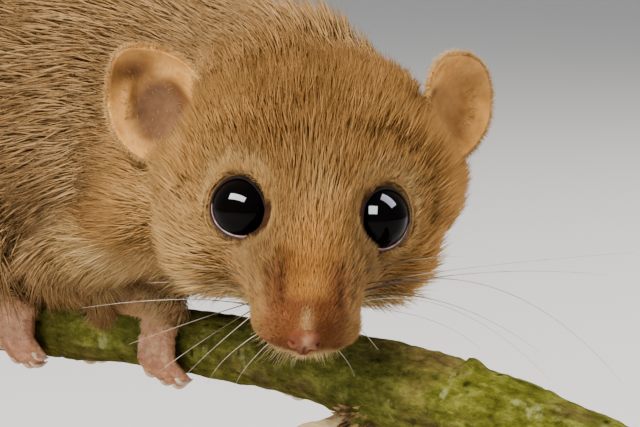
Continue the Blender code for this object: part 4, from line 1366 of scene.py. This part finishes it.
def ear_leaf(side):
    """Cupped leaf of one ear, with a rolled rim and folds down in the cup."""
    ear = EARS[side]
    across, rise, facing = ear_directions(side)
    shape = bmesh.new()

    def leaf_point(share, angle):
        outline = 1.0 + 0.05 * math.cos(2.0 * angle) - ear.narrowing * math.sin(angle)
        ripple = 1.0 + 0.012 * math.sin(5.0 * angle + 1.0) * share
        outline *= EAR_SPREAD - EAR_LEAN * math.cos(angle)
        wide = EAR_HALF_WIDTH * ear.size * share * outline * ripple * math.cos(angle)
        high = EAR_HALF_HEIGHT * ear.size * share * ripple * math.sin(angle)
        sink = EAR_DEPTH * (1.0 - share * share)
        for rising, place, width, turn, run in EAR_FOLDS:
            away = ((share - place) / width) ** 2 + ((angle - turn) / run) ** 2
            sink -= rising * math.exp(-away)
        sink -= 0.16 * max(0.0, (share - 0.88) / 0.12) ** 2
        return HEAD_FRAME @ (ear.middle + across * wide + rise * high - facing * sink)

    angles = [2.0 * math.pi * sector / EAR_SECTORS for sector in range(EAR_SECTORS)]
    shares = [(circle / EAR_CIRCLES) ** 0.9 for circle in range(1, EAR_CIRCLES + 1)]
    rows = [[shape.verts.new(leaf_point(share, angle)) for angle in angles] for share in shares]
    centre = shape.verts.new(leaf_point(0.0, 0.0))
    for sector in range(EAR_SECTORS):
        after = (sector + 1) % EAR_SECTORS
        shape.faces.new((centre, rows[0][sector], rows[0][after]))
        for row, following in zip(rows, rows[1:]):
            shape.faces.new((row[sector], following[sector], following[after], row[after]))
    item = closed_object("ear_leaf_" + side, shape)
    thickness = EAR_THICKNESS * MM
    apply_modifier(item, "SOLIDIFY", thickness=thickness, offset=0.0, use_even_offset=True, use_rim=True)
    apply_modifier(item, "SMOOTH", factor=0.5, iterations=2)
    return item


def ear_shades(wide, high, facing, side):
    """Shares of the ear's front and of the shadow under its tip."""
    front = np.array(ear_directions(side)[2])
    inside = smoothstep(-0.2, 0.4, (facing @ HEAD_AXES) @ front)
    return inside, EARS[side].shade * bell(high - 2.7, 0.9) * bell(wide - 0.5, 1.5)


def make_ears():
    skin = ear_material()
    fur = coat_material("coat_ear_fur")
    for side in SIDE_SIGN:
        item = ear_leaf(side)
        wide, high, _, _ = ear_place(places(item.data), side)
        inside, shadow = ear_shades(wide, high, normals(item.data), side)
        # Cup: greyer inner skin with painted shade down in the cup, its strength set for each ear
        cup = smoothstep(1.0, 0.5, np.hypot(wide / 3.0, (high + 0.9) / 3.6))
        float_attribute(item.data, "cup", EARS[side].shade * inside * cup)
        # Painted shade along a crease in the cup, added to the painted shadow under the tip
        fold = bell(wide + 1.9 - 0.35 * high, 0.35) * smoothstep(1.6, 0.4, high)
        float_attribute(item.data, "dark", np.clip((shadow + 0.8 * fold) * inside, 0.0, 1.0))
        unwrap(item)
        dress(item, skin, "skin")
        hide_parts("ear_" + side)

        surface = Surface(item)
        share = ear_place(surface.centres, side)[3]
        weight = 0.5 + 0.8 * smoothstep(0.6, 1.0, share)
        roots = root, facing, _ = surface.scatter(EAR_DOWN.count, weight)
        wide, high, _, share = ear_place(root, side)
        inside, shadow = ear_shades(wide, high, facing, side)
        across, rise, _ = (np.array(way) for way in ear_directions(side))
        way = unit(wide[:, None] * across + high[:, None] * rise) @ HEAD_AXES.T
        length = 0.75 - 0.15 * smoothstep(0.8, 1.0, share)
        masks = {
            "warm": 0.2 * inside,
            "pale": 0.4 * smoothstep(0.85, 1.0, share),
            "dark": 0.5 * shadow * inside,
        }
        add_down("coat_ear_" + side, EAR_DOWN, roots, way, length, masks, fur)


# Whiskers and the fringe of the lips


def surface_tree(item):
    mesh = item.data
    mesh.calc_loop_triangles()
    corners = [tuple(triangle.vertices) for triangle in mesh.loop_triangles]
    return BVHTree.FromPolygons([Vector(point) for point in places(mesh)], corners)


# Whiskers: where each leaves the lip, its middle and its tip, in the head frame
WHISKERS = {
    "right": (
        ((5.2, -2.9, -2.5), (3.2, -5.2, -3.3), (0.5, -8.6, -4.6)),
        ((4.4, -3.3, -3.5), (3.2, -6.5, -4.2), (0.5, -11.0, -6.2)),
        ((5.2, -2.7, -4.1), (3.2, -8.1, -5.7), (0.5, -15.4, -8.6)),
        ((4.4, -3.2, -4.3), (3.2, -7.1, -7.2), (0.5, -11.8, -11.4)),
        ((4.4, -3.1, -5.1), (3.4, -6.3, -8.4), (1.0, -9.6, -13.4)),
        ((4.8, -3.6, -6.0), (3.6, -5.7, -8.9), (1.4, -7.6, -13.2)),
        ((4.8, -3.2, -6.4), (4.0, -4.8, -9.4), (2.0, -6.0, -13.4)),
        ((6.0, -2.6, -6.6), (5.2, -3.6, -9.4), (3.4, -4.2, -12.6)),
    ),
    "left": (
        ((5.2, 2.5, -1.8), (3.2, 6.4, -1.6), (0.5, 11.0, -2.4)),
        ((5.2, 2.7, -2.5), (3.2, 11.4, -1.7), (0.5, 23.4, -1.2)),
        ((4.4, 3.4, -3.5), (3.2, 12.0, -2.1), (0.5, 21.6, -3.2)),
        ((5.2, 2.8, -3.1), (3.2, 13.4, -3.3), (0.5, 24.4, -12.2)),
        ((4.4, 3.5, -4.2), (3.2, 9.9, -4.7), (0.5, 18.1, -10.1)),
        ((5.2, 2.9, -4.0), (3.2, 10.5, -5.2), (0.5, 19.1, -12.4)),
        ((4.6, 3.1, -5.2), (3.2, 8.7, -6.1), (0.5, 13.6, -10.1)),
        ((4.8, 3.2, -6.2), (3.6, 5.7, -8.8), (1.4, 7.5, -12.4)),
        ((5.8, 2.4, -6.6), (5.0, 3.6, -9.4), (3.4, 4.4, -12.8)),
    ),
}


def settle_spots(tree):
    """Bring the spots that the whiskers leave from onto the skin."""
    for side, spots in WHISKER_SPOTS.items():
        found = [tree.find_nearest(head_point(*spot))[0] for spot in spots]
        WHISKER_SPOTS[side] = tuple(head_local(np.array([place]))[0] for place in found)


WHISKER_STEPS = 20
WHISKER_SIDES = 5
STOUT_WHISKERS = 5


def make_whiskers(tree):
    """Long hairs of the muzzle, each bowed through its middle and thinning to its tip."""
    runs = []
    along = []
    paleness = []
    for side in SIDE_SIGN:
        for rank, (root, middle, tip) in enumerate(WHISKERS[side]):
            root = tree.find_nearest(head_point(*root))[0]
            middle, tip = head_point(*middle), head_point(*tip)
            start = root - (middle - root).normalized() * 0.3
            bow = middle * 2.0 - (start + tip) * 0.5
            stout = rank < STOUT_WHISKERS
            points = []
            radii = []
            for step in range(WHISKER_STEPS + 1):
                share = step / WHISKER_STEPS
                bowed = bow * (2.0 * share * (1.0 - share))
                points.append(start * (1.0 - share) ** 2 + bowed + tip * share ** 2)
                radii.append((0.038 if stout else 0.018) * (1.0 - share) ** 0.8 + 0.008)
            runs.append((points, radii))
            run = np.linspace(0.0, (tip - start).length / 10.0, WHISKER_STEPS + 1)
            along += list(np.repeat(run, WHISKER_SIDES)) + [0.0, run[-1]]
            paleness += [float(not stout)] * ((WHISKER_STEPS + 1) * WHISKER_SIDES + 2)
    item = tubes("whiskers", runs, WHISKER_SIDES)
    float_attribute(item.data, "along", along)
    float_attribute(item.data, "pale", paleness)
    dress(item, whisker_material(), "fur")


def make_fringe(skin):
    """Pale hairs that hang from the edge of the lips and stand off the chin."""
    surface = Surface(skin)
    forward, _, up = head_local(surface.centres).T
    line = up - (MOUTH_LEVEL - MOUTH_FALL * forward)
    weight = bell(line - 0.35, 0.4) * smoothstep(0.5, 2.5, forward) * (body_share(surface.centres) < 0.5)
    count = FRINGE_TUFTS
    root, facing, spot = surface.scatter(count, weight)
    left = head_local(root)[:, 1]
    out = np.stack([np.full(count, 0.35), np.sign(left) * 0.2 + 0.28 * left, np.full(count, -1.0)], axis=1)
    way = unit(unit(out) @ HEAD_AXES.T + 0.16 * RANDOM.normal(size=(count, 3)))
    length = RANDOM.uniform(0.35, 0.9, count)
    length = length * (1.0 + 0.8 * np.abs(left) * (RANDOM.random(count) > 0.72))
    facing = unit(facing - 0.5 * way)
    lift = np.full(count, 0.25)
    width = RANDOM.uniform(0.022, 0.038, count)
    masks = {**no_marks(count), "pale": np.ones(count), "tone": 0.5 + 0.5 * RANDOM.random(count)}
    fur = bpy.data.materials["coat_fur"]
    tufts("coat_lip_fringe", root, facing, way, length, width, lift, spot, masks, fur, "fur")


# Hands and feet


def branch_middle(x):
    """Middle line and radius of the branch at places along it."""
    return [np.interp(x, BRANCH_LINE[:, 0], BRANCH_LINE[:, row]) for row in (1, 2, 3)]


def on_branch(x, angle, lift, side):
    """Place at a height over the bark, turned by an angle in degrees from its top to one side."""
    middle_y, middle_z, radius = branch_middle(x)
    turn = math.radians(angle)
    out = (radius + lift) * math.sin(turn) * SIDE_SIGN[side]
    return Vector((x, middle_y + out, middle_z + (radius + lift) * math.cos(turn)))


def branch_turn(points, side):
    """Turn in degrees from the top of the branch to one side, and height over its middle line."""
    middle_y, middle_z, _ = branch_middle(points[:, 0])
    out, rise = (points[:, 1] - middle_y) * SIDE_SIGN[side], points[:, 2] - middle_z
    return np.degrees(np.arctan2(out, rise)), np.hypot(out, rise)


# Line of a claw: turn beyond its digit, height over the bark and radius
CLAW_LINE = ((-6.0, 1.25, 0.3), (3.0, 1.3, 0.26), (11.0, 0.95, 0.18), (17.0, 0.4, 0.06))


def make_claws(name, side, x, digits, horn):
    """Curved horn claws that grip the bark beyond each digit."""
    radii = [radius for _, _, radius in CLAW_LINE]
    runs = []
    for spread, end in digits:
        runs.append(([on_branch(x + spread, end + turn, lift, side) for turn, lift, _ in CLAW_LINE], radii))
    item = tubes("claws_" + name, runs, 10)
    apply_modifier(item, "SUBSURF", levels=1, render_levels=1)
    dress(item, horn, "skin")


def make_paws():
    """Hands and feet with creased digits, short hair on their backs and claws of horn."""
    skin = paw_material()
    horn = toned_material("claw_horn")
    fur = coat_material("coat_paw_fur")
    for name, x, digits in PAWS:
        side = name.rsplit("_", 1)[1]
        item = joined_copy("fine_" + name, (name,))
        melt(item, PAW_VOXEL, 4)
        points = places(item.data)
        turn, _ = branch_turn(points, side)
        outward = normals(item.data)[:, 1] * SIDE_SIGN[side]
        digit = smoothstep(66.0, 78.0, turn) * smoothstep(-0.6, 0.4, outward + 0.4)
        rings = (0.5 + 0.5 * np.cos(np.radians(turn * 34.0 + 40.0 * np.sin(points[:, 0] * 2.1)))) ** 4
        knuckles = bell(turn - 78.0, 6.0) + bell(turn - 104.0, 7.0)
        swell(item, digit * (0.07 * knuckles - 0.055 * rings))
        unwrap(item)
        dress(item, skin, "skin")
        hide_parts(name)
        make_claws(name, side, x, digits, horn)

        surface = Surface(item)
        turn, _ = branch_turn(surface.centres, side)
        roots = root, _, _ = surface.scatter(PAW_DOWN.count, smoothstep(118.0, 50.0, turn) + 0.02)
        turn, _ = branch_turn(root, side)
        wrist = smoothstep(70.0, 40.0, turn)
        turn = np.radians(turn)
        down = np.stack([np.zeros(len(turn)), np.cos(turn) * SIDE_SIGN[side], -np.sin(turn)], axis=1)
        masks = {"back": np.ones(len(turn)), "pale": 0.55 - 0.3 * wrist}
        length = 0.5 + 1.3 * wrist
        add_down("coat_" + name, PAW_DOWN, roots, down, length, masks, fur, 1.0 + 1.2 * wrist, 0.2)


# Branch


BUD_SCALES = 44


def make_branch():
    """The cut branch with its bark worked finer and the broken twig at its side."""
    item = joined_copy("branch_bark", ("perch_branch",))
    melt(item, BARK_VOXEL, 8)
    points = places(item.data)
    ridges = []
    for point in points:
        place = Vector((point[0] * 0.35, point[1], point[2]))
        coarse = noise.fractal(place * 0.55, 1.0, 2.0, 3)
        fine = noise.fractal(place * 2.2 + Vector((5.0, 0.0, 0.0)), 0.8, 2.0, 3)
        ridges.append(0.16 * coarse + 0.1 * fine)
    at_end = [np.abs(points[:, 0] - BRANCH_STATIONS[end][0]) < 0.8 for end in (0, -1)]
    cut = smoothstep(0.75, 0.95, np.abs(normals(item.data)[:, 0])) * (at_end[0] | at_end[1])
    beyond_bark = branch_turn(points, "right")[1] > 3.6
    twig = smoothstep(1.6, 1.2, nearness_to_bone(points, *TWIG[1:])) * beyond_bark
    swell(item, np.clip(ridges, -0.28, 0.24) * (1.0 - cut))
    float_attribute(item.data, "cut", cut)
    float_attribute(item.data, "twig", twig)
    dress(item, bark_material(), "bark")
    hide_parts("perch_branch")
    make_bud_scales()


def make_bud_scales():
    """Brown papery scales and splinters round the root of the broken twig."""
    root, bend, tip = (Vector(place) for place in TWIG)
    way = (tip - root).normalized()
    across, rise = ring_frame(way)
    shape = bmesh.new()
    for index in range(BUD_SCALES):
        turn = math.radians(137.5 * index)
        share = 0.18 + 0.5 * RANDOM.random()
        out = across * math.cos(turn) + rise * math.sin(turn)
        place = root.lerp(bend, min(share * 1.5, 1.0)) + out * (1.15 - 0.2 * share)
        point = (way + out * RANDOM.uniform(0.15, 0.75) + Vector(RANDOM.normal(size=3)) * 0.15).normalized()
        side_way = point.cross(out).normalized()
        cover = side_way.cross(point)
        size = RANDOM.uniform(0.3, 0.62)
        form = bmesh.ops.create_uvsphere(shape, u_segments=14, v_segments=12, radius=1.0)["verts"]
        for corner in form:
            wide, high, run = corner.co
            taper = 0.34 * size * (1.0 - 0.55 * max(run, 0.0))
            curl = 0.22 * (run * run) - 0.5 * wide * wide
            sideways = side_way * (wide * taper) + cover * (0.05 * high + curl * 0.4)
            corner.co = place + point * (size * (run + 0.7)) + sideways
    dress(closed_object("bud_scales", shape), toned_material("bud_scale"), "bark")


def make_stand():
    wood = base_material()
    steel = metal_material()
    for name, material in (("stand_base", wood), ("stand_rod_front", steel), ("stand_rod_rear", steel)):
        node = frame["nodes"][name]
        node.data.materials.clear()
        node.data.materials.append(material)


# Floor, light and camera


def make_studio():
    shape = bmesh.new()
    bmesh.ops.create_grid(shape, x_segments=1, y_segments=1, size=4000.0)
    floor = to_object("studio_floor", shape)
    floor.data.materials.append(toned_material("floor_pale"))
    world = bpy.data.worlds.new("studio_air")
    bpy.context.scene.world = world
    world.use_nodes = True
    sky = world.node_tree.nodes["Background"]
    sky.inputs["Color"].default_value = (0.93, 0.95, 1.0, 1.0)
    sky.inputs["Strength"].default_value = 0.4


CAMERA_AZIMUTH = 50.0
CAMERA_ELEVATION = 8.0
CAMERA_DISTANCE = 220.0
CAMERA_LENS = 176.0
CAMERA_AIM = 0.68


def camera_axes():
    turn = math.radians(CAMERA_AZIMUTH)
    lift = math.radians(CAMERA_ELEVATION)
    back = Vector((math.sin(turn) * math.cos(lift), -math.cos(turn) * math.cos(lift), math.sin(lift)))
    right = Vector((math.cos(turn), math.sin(turn), 0.0))
    return right, back.cross(right), back


def make_camera():
    right, _, back = camera_axes()
    data = bpy.data.cameras.new("photo_view")
    data.sensor_width = 36.0
    data.lens = CAMERA_LENS
    data.clip_start = 0.005
    item = bpy.data.objects.new("photo_view", data)
    bpy.context.scene.collection.objects.link(item)
    item.location = (EYE_MIDPOINT + right * CAMERA_AIM + back * CAMERA_DISTANCE) * MM
    item.rotation_euler = back.to_track_quat("Z", "Y").to_euler()
    bpy.context.scene.camera = item


# Lamps round the animal: way as right, up and back of the camera, distance, size, power, colour
SOFT_LIGHTS = {
    "key_light": ((-0.55, 0.75, 0.6), 420.0, (200.0, 90.0), 4.6, (1.0, 0.97, 0.93)),
    "fill_light": ((-0.6, -0.2, 0.75), 600.0, (340.0, 240.0), 2.7, (1.0, 1.0, 1.0)),
    "rim_light": ((0.75, 0.7, -0.55), 450.0, (160.0, 160.0), 2.0, (1.0, 0.95, 0.88)),
    "side_light": ((0.9, 0.3, 0.4), 500.0, (240.0, 240.0), 1.3, (1.0, 1.0, 1.0)),
}
# Lamps that one eye shows: the eye, way, size, glow and colour
CATCH_LIGHTS = {
    "window_right": ("right", (-0.45, 0.63, 0.62), (420.0, 130.0), 300.0, (0.95, 0.97, 1.0)),
    "window_left": ("left", (-0.07, 0.44, 0.9), (200.0, 200.0), 270.0, (0.95, 0.97, 1.0)),
    "window_far": ("left", (0.64, 0.76, 0.15), (200.0, 300.0), 110.0, (0.86, 0.8, 1.0)),
}
CATCH_DISTANCE = 400.0


def area_light(name, way, distance, size, power, colour):
    """Square lamp that faces the head from a direction given as right, up and back of the camera."""
    axes = camera_axes()
    out = sum((axis * part for axis, part in zip(axes, way)), Vector()).normalized()
    data = bpy.data.lights.new(name, "AREA")
    data.shape = "RECTANGLE"
    data.size, data.size_y = (value * MM for value in size)
    data.energy = power
    data.color = colour
    item = bpy.data.objects.new(name, data)
    bpy.context.scene.collection.objects.link(item)
    item.location = (EYE_MIDPOINT + out * distance) * MM
    item.rotation_euler = out.to_track_quat("Z", "Y").to_euler()
    return item


def make_lights():
    for name, settings in SOFT_LIGHTS.items():
        area_light(name, *settings).visible_glossy = False
    for name, (side, way, size, glow, colour) in CATCH_LIGHTS.items():
        power = glow * math.pi * size[0] * size[1] * MM * MM
        lamp = area_light(name, way, CATCH_DISTANCE, size, power, colour)
        wet = bpy.data.collections.new(name + "_shown_by")
        wet.objects.link(bpy.data.objects["eyeball_" + side])
        lamp.light_linking.receiver_collection = wet
        lamp.visible_diffuse = False


def main():
    make_studio()
    make_camera()
    make_stand()
    make_branch()
    make_paws()
    skin = make_skin()
    tree = surface_tree(skin)
    settle_spots(tree)
    unwrap(skin)
    masks = markings(places(skin.data), normals(skin.data))
    masks["dark"] = np.maximum(masks["dark"], smoothstep(0.75, 0.25, lid_gap(places(skin.data))))
    for key, values in masks.items():
        float_attribute(skin.data, key, values)
    dress(skin, skin_material(), "fur")
    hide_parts(*FLESH_NODES, *TAIL_NODES)
    make_coats(skin)
    make_fringe(skin)
    make_whiskers(tree)
    make_nose()
    make_ears()
    make_eyes()
    make_lights()


main()
